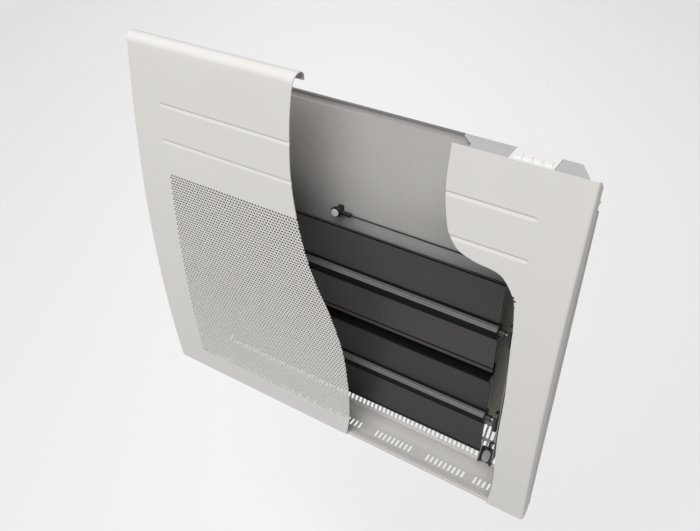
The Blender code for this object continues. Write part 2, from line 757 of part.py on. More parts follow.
def pad_spans():
    """Ranges of X of the recessed pads, with their count of slots."""
    spans = [(-END_PAD_END, -END_PAD_START)]
    for step in range(-PADS_EACH_SIDE, PADS_EACH_SIDE + 1):
        middle = PAD_OFFSET + step * PAD_PITCH
        spans.append((middle - PAD_HALF, middle + PAD_HALF))
    spans.append((END_PAD_START, END_PAD_END))
    margin = 2 * PAD_SLOPE + SLOT_WIDTH
    return [(start, end, 1 + int((end - start - margin) / SLOT_PITCH)) for start, end in spans]


def bottom_grille(material):
    """Tray with slotted pads, slanted slotted rear and a tab behind the back panel."""
    spans = pad_spans()
    stations = [(-1, 0.0), (-TAB_REACH, 0.0), (TAB_REACH, 0.0), (1, 0.0)]
    for start, end, count in spans:
        stations += [(start, 0.0), (start + PAD_SLOPE, PAD_DROP)]
        stations += [(end - PAD_SLOPE, PAD_DROP), (end, 0.0)]
    stations.sort()
    section = [
        (TRAY_FRONT, TRAY_LIP), (TRAY_FRONT, TRAY_LEVEL), (PAD_FRONT, TRAY_LEVEL),
        (PAD_FRONT + PAD_SLOPE, TRAY_LEVEL), (PAD_BACK - PAD_SLOPE, TRAY_LEVEL),
        (PAD_BACK, TRAY_LEVEL), (SLANT_START, TRAY_LEVEL),
        (TAB_DEPTH, slant_level(TAB_DEPTH)), (TAB_DEPTH, slant_level(TAB_DEPTH) + TAB_HEIGHT),
    ]
    floor = section[3:5]

    def place(point, station):
        depth, level = point
        x, drop = station
        if abs(x) == 1:
            corner = CORNER_RADIUS if depth <= TRAY_FRONT else 0.0
            x = x * (side_line(depth) - corner)
        return (x, depth, level - drop if point in floor else level)

    tab_row = len(section) - 2
    grille = bent_sheet(
        "bottom_grille", section, stations, place, (0.0, 0.0, 1.0), material,
        drop=lambda column, row: row == tab_row and not tab_column(stations, column))
    bm = bmesh.new()
    for start, end, count in spans:
        for step in range(count):
            middle = (start + end) / 2 + (step - (count - 1) / 2) * SLOT_PITCH
            xs = (middle - SLOT_WIDTH / 2, middle + SLOT_WIDTH / 2)
            block_into(bm, xs, (SLOT_FRONT, SLOT_BACK), (TRAY_LEVEL - OVERRUN, TRAY_LEVEL + OVERRUN))
    slots = int(2 * REAR_SLOT_REACH / REAR_SLOT_PITCH)
    for step in range(slots + 1):
        middle = (step - slots / 2) * REAR_SLOT_PITCH
        xs = (middle - REAR_SLOT_WIDTH / 2, middle + REAR_SLOT_WIDTH / 2)
        for row in REAR_ROWS:
            slant_block_into(bm, xs, row, (-OVERRUN / 2, OVERRUN / 2))
    return cut(grille, from_bmesh("grille_slots", bm, None, CUTTERS))


def tab_column(stations, column):
    """Whether a column of the bottom grille belongs to its rear tab."""
    middle = (stations[column][0] + stations[column + 1][0]) / 2
    return -TAB_REACH < middle < TAB_REACH


def radiant_plate(name, span, tube, creases, material):
    """Extruded plate with a creased nose round its element and fins behind."""
    bottom, top = span
    front, rear = PLATE_DEPTH, PLATE_DEPTH + PLATE_THICK
    centre = (TUBE_DEPTH, tube)
    lift = math.acos(PLATE_THICK / 2 / TUBE_RADIUS)

    def fin(level):
        half = FIN_THICK / 2
        tip = rear + FIN_DEPTH
        return [(rear, level + half), (tip, level + half), (tip, level - half), (rear, level - half)]

    margin = RAIL_OVERLAP + FIN_MARGIN
    steps = range(1, int((top - bottom) / FIN_PITCH))
    above = [tube + FIN_PITCH * step for step in steps if tube + FIN_PITCH * step < top - margin]
    below = [tube - FIN_PITCH * step for step in steps if tube - FIN_PITCH * step > bottom + margin]
    loop = [(front, bottom)]
    for low in creases:
        if low < tube:
            loop += crease(low)
    loop.append((front, tube - BOSS_FOOT))
    loop += arc(centre, TUBE_RADIUS, math.pi - BOSS_EDGE, math.pi / 2, BOSS_STEPS)
    loop += crease(tube + TUBE_RADIUS)[2:]
    for low in creases:
        if low > tube:
            loop += crease(low)
    loop += [(front, top), (rear, top)]
    for level in reversed(above):
        loop += fin(level)
    loop += arc(centre, TUBE_RADIUS, lift, -lift, TUBE_STEPS)
    for level in below:
        loop += fin(level)
    loop.append((rear, bottom))
    loops = [[(deep(depth), up(level)) for depth, level in line]
             for line in (loop, circle(centre, BORE_RADIUS))]
    return outline_solid(name, loops, PLANE_YZ, (0.0, 0.0, 0.0), 2 * PLATE_REACH, material)


def crease(low):
    """Section of a shallow crease in a plate's front, above a level."""
    high = low + CREASE
    return [(PLATE_DEPTH, low), (TUBE_DEPTH, low), (TUBE_DEPTH, high), (PLATE_DEPTH, high)]


def centre_rail(material):
    """Recessed channel that joins the two plates behind their meeting edges."""
    front = PLATE_DEPTH + PLATE_THICK + GAP
    back = front + RAIL_DEPTH
    low, high = LOWER_PLATE[1], UPPER_PLATE[0]
    section = [(front, low - RAIL_OVERLAP), (front, low - RAIL_SLOPE / 2), (back, low + RAIL_SLOPE),
               (back, high - RAIL_SLOPE), (front, high + RAIL_SLOPE / 2), (front, high + RAIL_OVERLAP)]
    return bent_sheet(
        "centre_rail", section, (-PLATE_REACH, PLATE_REACH),
        lambda point, x: (x, point[0], point[1]), (0.0, -1.0, 0.0), material)


def element(name, level, material):
    """Heating element: a rod in the plate's boss with a thin cold pin at each end."""
    reach = SLEEVE_START - GAP
    item = rod(name, (-reach, TUBE_DEPTH, level), (reach, TUBE_DEPTH, level), ROD_RADIUS, material)
    return unite(item, rod(name + "_pins", (-PIN_END, TUBE_DEPTH, level),
                           (PIN_END, TUBE_DEPTH, level), PIN_RADIUS, None, None, SMALL_SIDES))


def each_end():
    """The four ends of the elements: name, side and level."""
    return [(f"{tube}_{hand}", side, level)
            for tube, level in zip(("upper", "lower"), TUBE_LEVELS)
            for hand, side in (("left", -1), ("right", 1))]


def insulator(end, side, level, material):
    """Ceramic sleeve round a cold pin."""
    name = "insulator_" + end
    start, stop = (side * SLEEVE_START, TUBE_DEPTH, level), (side * SLEEVE_END, TUBE_DEPTH, level)
    past, before = (side * (SLEEVE_END + OVERRUN), *stop[1:]), (side * (SLEEVE_START - OVERRUN), *start[1:])
    sleeve = rod(name, start, stop, ROD_RADIUS, material)
    return cut(sleeve, rod(name + "_bore", before, past, PIN_RADIUS + GAP, None, CUTTERS, SMALL_SIDES))


def bush(end, side, level, material):
    """Oval bush that lets a cold pin float in its side bracket."""
    name = "bush_" + end
    middle = side * (BUSH_START + BUSH_FLANGE / 2)
    item = outline_solid(name, [stadium(BUSH_WIDTH, BUSH_HEIGHT)], PLANE_YZ,
                         (middle, deep(TUBE_DEPTH), up(level)), BUSH_FLANGE, material)
    boss = rod(name + "_boss", (middle, TUBE_DEPTH, level),
               (side * (BRACKET_WEB - GAP), TUBE_DEPTH, level), BUSH_BOSS_RADIUS)
    neck = rod(name + "_neck", (middle, TUBE_DEPTH, level),
               (side * BUSH_NECK_END, TUBE_DEPTH, level), BUSH_NECK_RADIUS)
    unite(item, boss, neck)
    return cut(item, rod(name + "_bore", (side * SLEEVE_END, TUBE_DEPTH, level),
                         (side * (BUSH_NECK_END + OVERRUN), TUBE_DEPTH, level),
                         PIN_RADIUS + GAP, None, CUTTERS, SMALL_SIDES))


def side_bracket(side, material):
    """Angle that stands on the back panel and holds two bushes in its web."""
    name = "side_bracket_right" if side > 0 else "side_bracket_left"
    section = [(BRACKET_FOOT_START, BODY_DEPTH - GAP), (BRACKET_WEB + SHEET, BODY_DEPTH - GAP),
               (BRACKET_WEB + SHEET, BRACKET_FRONT)]
    bracket = bent_sheet(
        name, section, (BRACKET_BOTTOM, BRACKET_TOP),
        lambda point, level: (side * point[0], point[1], level), (side, 0.0, 0.0), material)
    bm = bmesh.new()
    for level in TUBE_LEVELS:
        start = (side * (BRACKET_WEB - OVERRUN), TUBE_DEPTH, level)
        end = (side * (BRACKET_WEB + OVERRUN), TUBE_DEPTH, level)
        round_into(bm, start, end, BUSH_NECK_RADIUS + GAP)
    return cut(bracket, from_bmesh(name + "_holes", bm, None, CUTTERS))


def limiter(dark, metal, lead_material):
    """Bimetal limiter on its holder, with its sleeved lead."""
    x, level = LIMITER_X, LIMITER_LEVEL
    ring_front = LIMITER_FRONT + LIMITER_CAP_THICK + GAP
    ring_back = ring_front + LIMITER_RING_THICK
    rod("limiter_cap", (x, LIMITER_FRONT, level), (x, ring_front - GAP, level),
        LIMITER_CAP_RADIUS, metal)
    rod("limiter_body", (x, ring_front, level), (x, ring_back, level), LIMITER_RING_RADIUS, dark)
    half = LIMITER_HOLDER_HALF
    block("limiter_holder", (x - half, x + half), (ring_back + GAP, BODY_DEPTH - GAP),
          (level - LIMITER_HOLDER_BELOW, level + LIMITER_HOLDER_ABOVE), dark)
    lead_start = x + half + GAP
    sleeve_end = lead_start + LIMITER_SLEEVE_LENGTH
    route_depth, route_level = LIMITER_LEAD_DEPTH, LIMITER_LEAD_LEVEL
    rod("limiter_sleeve", (lead_start, route_depth, route_level),
        (sleeve_end, route_depth, route_level), LIMITER_SLEEVE_RADIUS, dark, None, SMALL_SIDES)
    wire("limiter_lead", [
        (sleeve_end + GAP, route_depth, route_level),
        (SENSOR_LEAD_X - LEAD_XS[1] + LEAD_XS[0], route_depth, route_level),
        (SENSOR_LEAD_X - LEAD_XS[1] + LEAD_XS[0], route_depth, BOX_BOTTOM - LEAD_BEND * 2),
        (SENSOR_LEAD_X - LEAD_XS[1] + LEAD_XS[0], LEAD_RISE_DEPTH, BOX_BOTTOM - LEAD_BEND * 2),
        (SENSOR_LEAD_X - LEAD_XS[1] + LEAD_XS[0], LEAD_RISE_DEPTH, terminal_underside()),
    ], LIMITER_LEAD_RADIUS, lead_material)


def terminal_underside():
    """Level just below the terminal block that hangs under the circuit board."""
    return BOARD_LEVEL - GAP - TERMINAL_SIZE[2] - GAP


def room_sensor(dark, grey, lead_material):
    """Sensor in a forked holder clipped on the slanted grille."""
    left, right = SENSOR_X - HOLDER_WIDTH / 2, SENSOR_X + HOLDER_WIDTH / 2
    alongs = (SENSOR_ALONG - HOLDER_LENGTH / 2, SENSOR_ALONG + HOLDER_LENGTH / 2)
    base = (GAP, GAP + HOLDER_THICK)
    bm = bmesh.new()
    slant_block_into(bm, (left, right), alongs, base)
    holder = from_bmesh("sensor_holder", bm, dark)
    for number, x in enumerate((left, right - HOLDER_ARM_WIDTH)):
        bm = bmesh.new()
        slant_block_into(bm, (x, x + HOLDER_ARM_WIDTH), alongs, (base[0], base[1] + HOLDER_ARM_HEIGHT))
        unite(holder, from_bmesh(f"holder_arm_{number}", bm))
    off = base[1] + GAP + SENSOR_THICK / 2
    depth, level = slant_point(SENSOR_ALONG, off)
    turn = Matrix.Rotation(SLANT_ANGLE, 4, "X")
    outline_solid("sensor_probe", [stadium(SENSOR_WIDTH, SENSOR_LENGTH)], turn,
                  (SENSOR_X, deep(depth), up(level)), SENSOR_THICK, grey)
    exit_along = SENSOR_ALONG + SENSOR_LENGTH / 2 + GAP
    start = slant_point(exit_along, off)
    bend = slant_point(exit_along + 2 * LEAD_BEND, off + LEAD_BEND)
    wire("sensor_lead", [
        (SENSOR_X, *start), (SENSOR_X, *bend), (SENSOR_LEAD_X, LEAD_RISE_DEPTH, bend[1]),
        (SENSOR_LEAD_X, LEAD_RISE_DEPTH, terminal_underside()),
    ], SENSOR_LEAD_RADIUS, lead_material)


def box_plan(inset):
    """Outline of the control box body in X and depth, drawn in by an inset."""
    offset = FLARE_SKEW * (SHEET + BOX_SIDE_GAP + inset)
    right = BOX_RIGHT - inset
    rear = BOX_REAR - inset
    knee = SIDE_KNEE + (SIDE_REACH - offset - right) / FLARE_SLOPE
    front = BOX_FRONT + inset
    left = BOX_LEFT + inset
    return [(left, front), (right, front), (right, knee), (side_line(rear) - offset, rear), (left, rear)]


def control_box(shell, board_green, dark, white, glass, brass):
    """Plastic box with a lid, circuit board, keys, display window and rocker switch."""
    body = plan_solid("control_box_body", box_plan(0.0), (BOX_BOTTOM, LID_BOTTOM - GAP), shell)
    hollow = plan_solid(
        "box_hollow", box_plan(BOX_WALL), (BOX_BOTTOM + BOX_WALL, BACK_TOP), None, CUTTERS)
    cut(body, hollow)
    entry = (SENSOR_LEAD_X - LEAD_BEND, LEAD_XS[1] + LEAD_RADIUS * 2)
    depths = (LEAD_RISE_DEPTH - ENTRY_HALF_DEPTH, LEAD_RISE_DEPTH + ENTRY_HALF_DEPTH)
    cut(body, block("box_entry", entry, depths, (BOX_BOTTOM - OVERRUN, BOX_BOTTOM + OVERRUN),
                    None, CUTTERS))
    cut(body, rod("gland_hole", (GLAND_X, BOX_REAR - OVERRUN, GLAND_LEVEL),
                  (GLAND_X, BOX_REAR + OVERRUN, GLAND_LEVEL), GLAND_RADIUS + GAP, None, CUTTERS))
    inner_left, inner_right = BOX_LEFT + BOX_WALL, BOARD_RIGHT
    board_depths = (BOX_FRONT + BOX_WALL + BOARD_MARGIN, BOX_REAR - BOX_WALL - BOARD_MARGIN)
    board = (inner_left + BOARD_MARGIN, inner_right)
    for number, x in enumerate((board[0] + POST_RADIUS, board[1] - POST_RADIUS)):
        for row, depth in enumerate((board_depths[0] + POST_RADIUS, board_depths[1] - POST_RADIUS)):
            post = rod(f"board_post_{number}_{row}", (x, depth, BOX_BOTTOM + BOX_WALL / 2),
                       (x, depth, BOARD_LEVEL - GAP), POST_RADIUS, None, None, SMALL_SIDES)
            unite(body, post)
    rear_line = side_line(LID_REAR)
    lid_plan = [
        (LID_LEFT_FRONT, BOX_FRONT), (side_line(BOX_FRONT) - GAP, BOX_FRONT),
        (side_line(SIDE_KNEE) - GAP, SIDE_KNEE), (rear_line - GAP, LID_REAR),
        (LID_LEFT_REAR, LID_REAR), (LID_LEFT_REAR, BODY_DEPTH), (LID_LEFT_FRONT, LID_LEFT_KNEE)]
    lid = plan_solid("control_box_cover", lid_plan, (LID_BOTTOM, BACK_TOP), shell)
    fascia = block("keypad_fascia", (FASCIA_LEFT, FASCIA_RIGHT), (FASCIA_FRONT, FASCIA_REAR),
                   (FASCIA_BOTTOM, FASCIA_TOP), white)
    window = ((FASCIA_MIDDLE - WINDOW_HALF, FASCIA_MIDDLE + WINDOW_HALF), (WINDOW_FRONT, WINDOW_REAR))
    block("display_window", *window, (FASCIA_TOP - WINDOW_THICK, FASCIA_TOP), glass)
    through = (LID_BOTTOM - OVERRUN, FASCIA_TOP + OVERRUN)
    holes = bmesh.new()
    grown = [(low - GAP, high + GAP) for low, high in window]
    block_into(holes, *grown, through)
    for x in key_places():
        reach, stretch = KEY_WIDTH / 2 + GAP, KEY_LENGTH / 2 + GAP
        block_into(holes, (x - reach, x + reach), (KEY_DEPTH - stretch, KEY_DEPTH + stretch), through)
    key_holes = from_bmesh("key_holes", holes, None, CUTTERS)
    cut(fascia, key_holes)
    cut(lid, key_holes)
    width, length = ROCKER_HALF_WIDTH + HOUSING_MARGIN, ROCKER_HALF_LENGTH + HOUSING_MARGIN
    mouth = ((ROCKER_X - width, ROCKER_X + width), (ROCKER_MIDDLE - length, ROCKER_MIDDLE + length))
    cut(lid, block("rocker_mouth", *mouth, through, None, CUTTERS))
    circuit = block("circuit_board", board, board_depths, (BOARD_LEVEL, BOARD_TOP), board_green)
    for x in key_places():
        unite(circuit, block("key_switch", (x - SWITCH_HALF, x + SWITCH_HALF),
                             (KEY_DEPTH - SWITCH_HALF, KEY_DEPTH + SWITCH_HALF),
                             (BOARD_LEVEL + BOARD_THICK / 2, KEY_ROOT - KEY_TRAVEL - GAP)))
    relay_xs = (RELAY_X - RELAY_SIZE[0] / 2, RELAY_X + RELAY_SIZE[0] / 2)
    terminal_xs = (inner_right - TERMINAL_SIZE[0], LEAD_XS[1] + LEAD_RADIUS * 2)
    for name, size, xs, depth, material in (
            ("relay", RELAY_SIZE, relay_xs, RELAY_DEPTH, dark),
            ("terminal_block", TERMINAL_SIZE, terminal_xs, LEAD_RISE_DEPTH, white)):
        depths = (depth - size[1] / 2, depth + size[1] / 2)
        block(name, xs, depths, (BOARD_LEVEL - GAP - size[2], BOARD_LEVEL - GAP), material)
    for name, x in zip(KEY_NAMES, key_places()):
        key(name, x, white)
    rocker_switch(mouth, dark)
    cable_gland(dark)


def key_places():
    count = len(KEY_NAMES)
    return [FASCIA_MIDDLE + (number - (count - 1) / 2) * KEY_PITCH for number in range(count)]


def key(name, x, material):
    """Push key: cap through the lid, a flange that stops it, a stem to its switch."""
    half, stretch = KEY_WIDTH / 2, KEY_LENGTH / 2
    stop = LID_BOTTOM - GAP
    item = block(name, (x - half, x + half), (KEY_DEPTH - stretch, KEY_DEPTH + stretch),
                 (KEY_ROOT, FASCIA_TOP + KEY_PROUD), material)
    flange = block(name + "_flange", (x - half - KEY_FLANGE, x + half + KEY_FLANGE),
                   (KEY_DEPTH - stretch - KEY_FLANGE, KEY_DEPTH + stretch + KEY_FLANGE),
                   (stop - KEY_FLANGE, stop))
    unite(item, flange)
    set_origin(item, (x, KEY_DEPTH, FASCIA_TOP + KEY_PROUD))


def rocker_switch(mouth, material):
    """Rocker on its axle in a housing under the lid, modelled switched off."""
    pivot = (ROCKER_MIDDLE, BACK_TOP - ROCKER_PIVOT_DROP)
    half = ROCKER_HALF_LENGTH
    profile = [(-half, ROCKER_CREST), (0.0, ROCKER_VALLEY), (half, ROCKER_CREST),
               (half, -ROCKER_ROOT / 2), (0.0, -ROCKER_ROOT), (-half, -ROCKER_ROOT / 2)]
    across, along = math.cos(ROCKER_TILT), math.sin(ROCKER_TILT)
    loop = [(y * across - z * along, y * along + z * across) for y, z in profile]
    loop = [(deep(pivot[0] + y), up(pivot[1] + z)) for y, z in loop]
    rocker = outline_solid("power_rocker", [loop], PLANE_YZ, (ROCKER_X, 0.0, 0.0),
                           2 * ROCKER_HALF_WIDTH, material)
    unite(rocker, rod("rocker_axle", (ROCKER_X - ROCKER_AXLE_HALF, *pivot),
                      (ROCKER_X + ROCKER_AXLE_HALF, *pivot), ROCKER_AXLE_RADIUS,
                      None, None, SMALL_SIDES))
    set_origin(rocker, (ROCKER_X, *pivot))
    xs, depths = mouth
    inner = (LID_BOTTOM - GAP - HOUSING_DEPTH + HOUSING_WALL, BACK_TOP)
    housing = block("rocker_housing", (xs[0] - HOUSING_WALL, xs[1] + HOUSING_WALL),
                    (depths[0] - HOUSING_WALL, depths[1] + HOUSING_WALL),
                    (LID_BOTTOM - GAP - HOUSING_DEPTH, LID_BOTTOM - GAP), material)
    cut(housing, block("housing_hollow", xs, depths, inner, None, CUTTERS))
    reach = ROCKER_HALF_WIDTH + HOUSING_MARGIN + HOUSING_WALL + OVERRUN
    cut(housing, rod("axle_bore", (ROCKER_X - reach, *pivot), (ROCKER_X + reach, *pivot),
                     ROCKER_AXLE_RADIUS + GAP, None, CUTTERS, SMALL_SIDES))


def cable_gland(material):
    """Grommet through the back panel and the box wall, its bore empty."""
    flange = BODY_DEPTH + SHEET + GAP
    start = BOX_REAR - BOX_WALL - GLAND_FLANGE_THICK
    gland = rod("cable_gland", (GLAND_X, start, GLAND_LEVEL), (GLAND_X, GLAND_REAR, GLAND_LEVEL),
                GLAND_RADIUS, material)
    unite(gland, rod("gland_flange", (GLAND_X, flange, GLAND_LEVEL),
                     (GLAND_X, flange + GLAND_FLANGE_THICK, GLAND_LEVEL), GLAND_FLANGE_RADIUS))
    cut(gland, rod("gland_bore", (GLAND_X, start - OVERRUN, GLAND_LEVEL),
                   (GLAND_X, GLAND_REAR + OVERRUN, GLAND_LEVEL), GLAND_BORE, None, CUTTERS))


def element_leads(material):
    """Leads from the element pins up to the box, and the link on the other side."""
    start = PIN_END + GAP
    for name, x, level in zip(("upper_lead", "lower_lead"), LEAD_XS, TUBE_LEVELS):
        bow = x + LEAD_BEND
        wire(name, [
            (start, TUBE_DEPTH, level), (bow, TUBE_DEPTH, level), (bow, LEAD_RISE_DEPTH, level),
            (bow, LEAD_RISE_DEPTH, BOX_BOTTOM - LEAD_BEND * 3),
            (x, LEAD_RISE_DEPTH, BOX_BOTTOM - LEAD_BEND), (x, LEAD_RISE_DEPTH, terminal_underside()),
        ], LEAD_RADIUS, material)
    wire("link_lead", [
        (-start, TUBE_DEPTH, LOWER_TUBE), (-LINK_X - LEAD_BEND, TUBE_DEPTH, LOWER_TUBE),
        (-LINK_X - LEAD_BEND, TUBE_DEPTH, UPPER_TUBE), (-start, TUBE_DEPTH, UPPER_TUBE),
    ], LEAD_RADIUS, material)


def hanger(side):
    """Top-hat upright of the wall bracket."""
    wall = WALL_DEPTH - HANGER_SHEET
    section = [(HANGER_FOOT_HALF, wall), (HANGER_WEB_HALF, wall), (HANGER_WEB_HALF, HANGER_FRONT),
               (-HANGER_WEB_HALF, HANGER_FRONT), (-HANGER_WEB_HALF, wall), (-HANGER_FOOT_HALF, wall)]
    return bent_sheet(
        f"hanger_{side}", section, (HANGER_BOTTOM, HANGER_TOP),
        lambda point, level: (side * HANGER_X + point[0], point[1], level),
        (0.0, -1.0, 0.0), None, HANGER_SHEET)


def wall_bracket(material):
    """Two uprights on a crossbar, with hooks in front and a seat for each lock."""
    bracket = hanger(-1)
    bracket.name = "wall_bracket"
    bracket.data.materials.append(material)
    reach = HANGER_X - HANGER_WEB_HALF - GAP
    bar = block("crossbar", (-reach, reach), (WALL_DEPTH - HANGER_SHEET, WALL_DEPTH),
                (MOUNT_LEVEL - CROSSBAR_HALF_HEIGHT, MOUNT_LEVEL + CROSSBAR_HALF_HEIGHT))
    others = [bar, hanger(1)]
    blade_back = BODY_DEPTH - GAP
    for side in (-1, 1):
        x = side * HANGER_X
        web = (x - HANGER_WEB_HALF, x + HANGER_WEB_HALF)
        others.append(block(f"cap_{side}", web, (HANGER_FRONT, WALL_DEPTH - HANGER_SHEET),
                            (HANGER_TOP - HANGER_SHEET, HANGER_TOP)))
        width = (x - HOOK_HALF_WIDTH, x + HOOK_HALF_WIDTH)
        for number, level in enumerate(HOOK_LEVELS):
            others.append(block(f"neck_{side}_{number}", width,
                                (blade_back - HOOK_BLADE, HANGER_FRONT + HANGER_SHEET / 2),
                                (level, level + HOOK_NECK)))
            others.append(block(f"blade_{side}_{number}", width, (blade_back - HOOK_BLADE, blade_back),
                                (level, level + HOOK_NECK + HOOK_RISE)))
    unite(bracket, *others)
    bm = bmesh.new()
    foot = (HANGER_WEB_HALF + HANGER_FOOT_HALF) / 2
    for side in (-1, 1):
        for offset in (-foot, foot):
            for level in WALL_SLOT_LEVELS:
                x = side * HANGER_X + offset
                block_into(bm, (x - WALL_SLOT_WIDTH / 2, x + WALL_SLOT_WIDTH / 2),
                           (WALL_DEPTH - OVERRUN / 2, WALL_DEPTH + OVERRUN / 2),
                           (level - WALL_SLOT_HEIGHT / 2, level + WALL_SLOT_HEIGHT / 2))
        x = side * HANGER_X
        round_into(bm, (x, LOCK_DEPTH, HANGER_TOP - OVERRUN), (x, LOCK_DEPTH, HANGER_TOP + OVERRUN),
                   LOCK_PIN_RADIUS + GAP)
    return cut(bracket, from_bmesh("bracket_holes", bm, None, CUTTERS))


def lock(side, material):
    """Quarter-turn lock: pin in the bracket's cap, tab through the back panel."""
    name = "lock_right" if side > 0 else "lock_left"
    x = side * HANGER_X
    top = LOCK_BOTTOM + LOCK_TAB_HEIGHT
    item = rod(name, (x, LOCK_DEPTH, LOCK_BOTTOM), (x, LOCK_DEPTH, top + LOCK_HEAD_HEIGHT),
               LOCK_HEAD_RADIUS, material)
    pin = rod(name + "_pin", (x, LOCK_DEPTH, HANGER_TOP - LOCK_PIN_DROP),
              (x, LOCK_DEPTH, LOCK_BOTTOM + LOCK_TAB_HEIGHT / 2), LOCK_PIN_RADIUS)
    tab = block(name + "_tab", (x - LOCK_TAB_HALF, x + LOCK_TAB_HALF), (LOCK_TAB_TIP, LOCK_DEPTH),
                (LOCK_BOTTOM, top))
    unite(item, pin, tab)
    slit = block(name + "_slit", (x - LOCK_SLIT / 2, x + LOCK_SLIT / 2),
                 (LOCK_DEPTH - OVERRUN, LOCK_DEPTH + OVERRUN),
                 (top + LOCK_HEAD_HEIGHT - LOCK_SLIT_DEPTH, top + LOCK_HEAD_HEIGHT + OVERRUN),
                 None, CUTTERS)
    cut(item, slit)
    set_origin(item, (x, LOCK_DEPTH, HANGER_TOP))


def screws(steel, brass):
    """Screw heads behind the casing and under the front, and the earth stud."""
    rear = SIDE_REAR + GAP
    for hand, side in (("left", -1), ("right", 1)):
        for number, level in enumerate(CASING_SCREW_LEVELS, 1):
            x = side * CASING_SCREW_X
            rod(f"casing_screw_{hand}_{number}", (x, rear, level), (x, rear + SCREW_HEIGHT, level),
                SCREW_RADIUS, steel, None, SMALL_SIDES)
    seat = FACE_BOTTOM - GAP
    for number, x in enumerate(FACADE_SCREW_XS, 1):
        rod(f"front_panel_screw_{number}", (x, FACADE_SCREW_DEPTH, seat),
            (x, FACADE_SCREW_DEPTH, seat - SCREW_HEIGHT), SCREW_RADIUS, steel, None, SMALL_SIDES)
    front = BODY_DEPTH - GAP
    stud = rod("earth_stud", (EARTH_X, front, EARTH_LEVEL), (EARTH_X, front - EARTH_LENGTH, EARTH_LEVEL),
               SCREW_RADIUS / 2, brass, None, SMALL_SIDES)
    unite(stud, rod("earth_nut", (EARTH_X, front, EARTH_LEVEL),
                    (EARTH_X, front - SCREW_HEIGHT, EARTH_LEVEL), SCREW_RADIUS, None, None, HOLE_SIDES))


def set_origin(item, point):
    """Move an object's origin to a point given as X, depth and level."""
    spot = Vector((point[0], deep(point[1]), up(point[2])))
    item.data.transform(Matrix.Translation(-spot))
    item.location = spot


def centre_origins():
    """Give each fixed piece its own place, at the middle of its mesh."""
    for item in PARTS.objects:
        if item.location.length == 0:
            corners = [Vector(corner) for corner in item.bound_box]
            middle = sum(corners, Vector()) / len(corners)
            item.data.transform(Matrix.Translation(-middle))
            item.location = middle


GROUPS = {
    "casing": ("front_panel", "back_panel", "side_panel", "bottom_grille", "casing_", "earth"),
    "heating_body": ("upper_", "lower_", "link_", "centre_rail", "insulator_", "bush_",
                     "side_bracket"),
    "thermal_limiter": ("limiter_",),
    "room_sensor": ("sensor_",),
    "control_unit": ("control_box", "keypad", "display", "key_", "circuit", "relay", "terminal",
                     "power_rocker", "rocker_", "cable_gland"),
    "wall_mounting": ("wall_bracket", "lock_"),
}


def parent_groups():
    """Group the pieces under empties, as they would come apart on a bench."""
    heater = bpy.data.objects.new("heater", None)
    bpy.context.scene.collection.objects.link(heater)
    for group, starts in GROUPS.items():
        empty = bpy.data.objects.new(group, None)
        bpy.context.scene.collection.objects.link(empty)
        empty.parent = heater
        for item in PARTS.objects:
            if item.name.startswith(starts):
                item.parent = empty


def build():
    enamel = make_material("warm_grey_enamel", (0.66, 0.64, 0.61), 0.45)
    galvanised = make_material("galvanised_steel", (0.42, 0.41, 0.40), 0.5, 0.6)
    tray = make_material("grey_enamel", (0.50, 0.49, 0.47), 0.5)
    anodised = make_material("black_anodised_aluminium", (0.055, 0.050, 0.050), 0.55, 0.3)
    steel = make_material("zinc_steel", (0.55, 0.55, 0.56), 0.35, 1.0)
    ceramic = make_material("dark_ceramic", (0.05, 0.05, 0.05), 0.5)
    black = make_material("black_plastic", (0.02, 0.02, 0.02), 0.45)
    shell = make_material("blue_grey_plastic", (0.45, 0.46, 0.49), 0.5)
    white = make_material("white_plastic", (0.72, 0.72, 0.69), 0.4)
    glass = make_material("smoked_window", (0.05, 0.06, 0.06), 0.15)
    green = make_material("board_green", (0.04, 0.16, 0.07), 0.5)
    brass = make_material("brass", (0.70, 0.52, 0.22), 0.35, 1.0)
    silicone = make_material("silicone_wire", (0.35, 0.33, 0.31), 0.6)

    front_panel_left(enamel)
    front_panel_right(enamel)
    back_panel(galvanised)
    bottom_grille(tray)
    side_panel(-1, galvanised)
    side_panel(1, galvanised)
    creases = (UPPER_PLATE[0] + MIDDLE_LIP, UPPER_PLATE[1] - TOP_LIP - CREASE)
    radiant_plate("upper_radiant_plate", UPPER_PLATE, UPPER_TUBE, creases, anodised)
    creases = (LOWER_PLATE[0] + BOTTOM_LIP,)
    radiant_plate("lower_radiant_plate", LOWER_PLATE, LOWER_TUBE, creases, anodised)
    centre_rail(anodised)
    element("upper_element", UPPER_TUBE, steel)
    element("lower_element", LOWER_TUBE, steel)
    for end, side, level in each_end():
        insulator(end, side, level, ceramic)
        bush(end, side, level, black)
    side_bracket(-1, galvanised)
    side_bracket(1, galvanised)
    limiter(black, steel, silicone)
    room_sensor(black, shell, black)
    control_box(shell, green, black, white, glass, brass)
    element_leads(silicone)
    wall_bracket(steel)
    lock(-1, white)
    lock(1, white)
    screws(steel, brass)
    centre_origins()
    parent_groups()


for leftover in list(bpy.data.objects):
    bpy.data.objects.remove(leftover)
PARTS = make_collection("electric_radiator")
CUTTERS = make_collection("cutters")
build()
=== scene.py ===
import json
import math

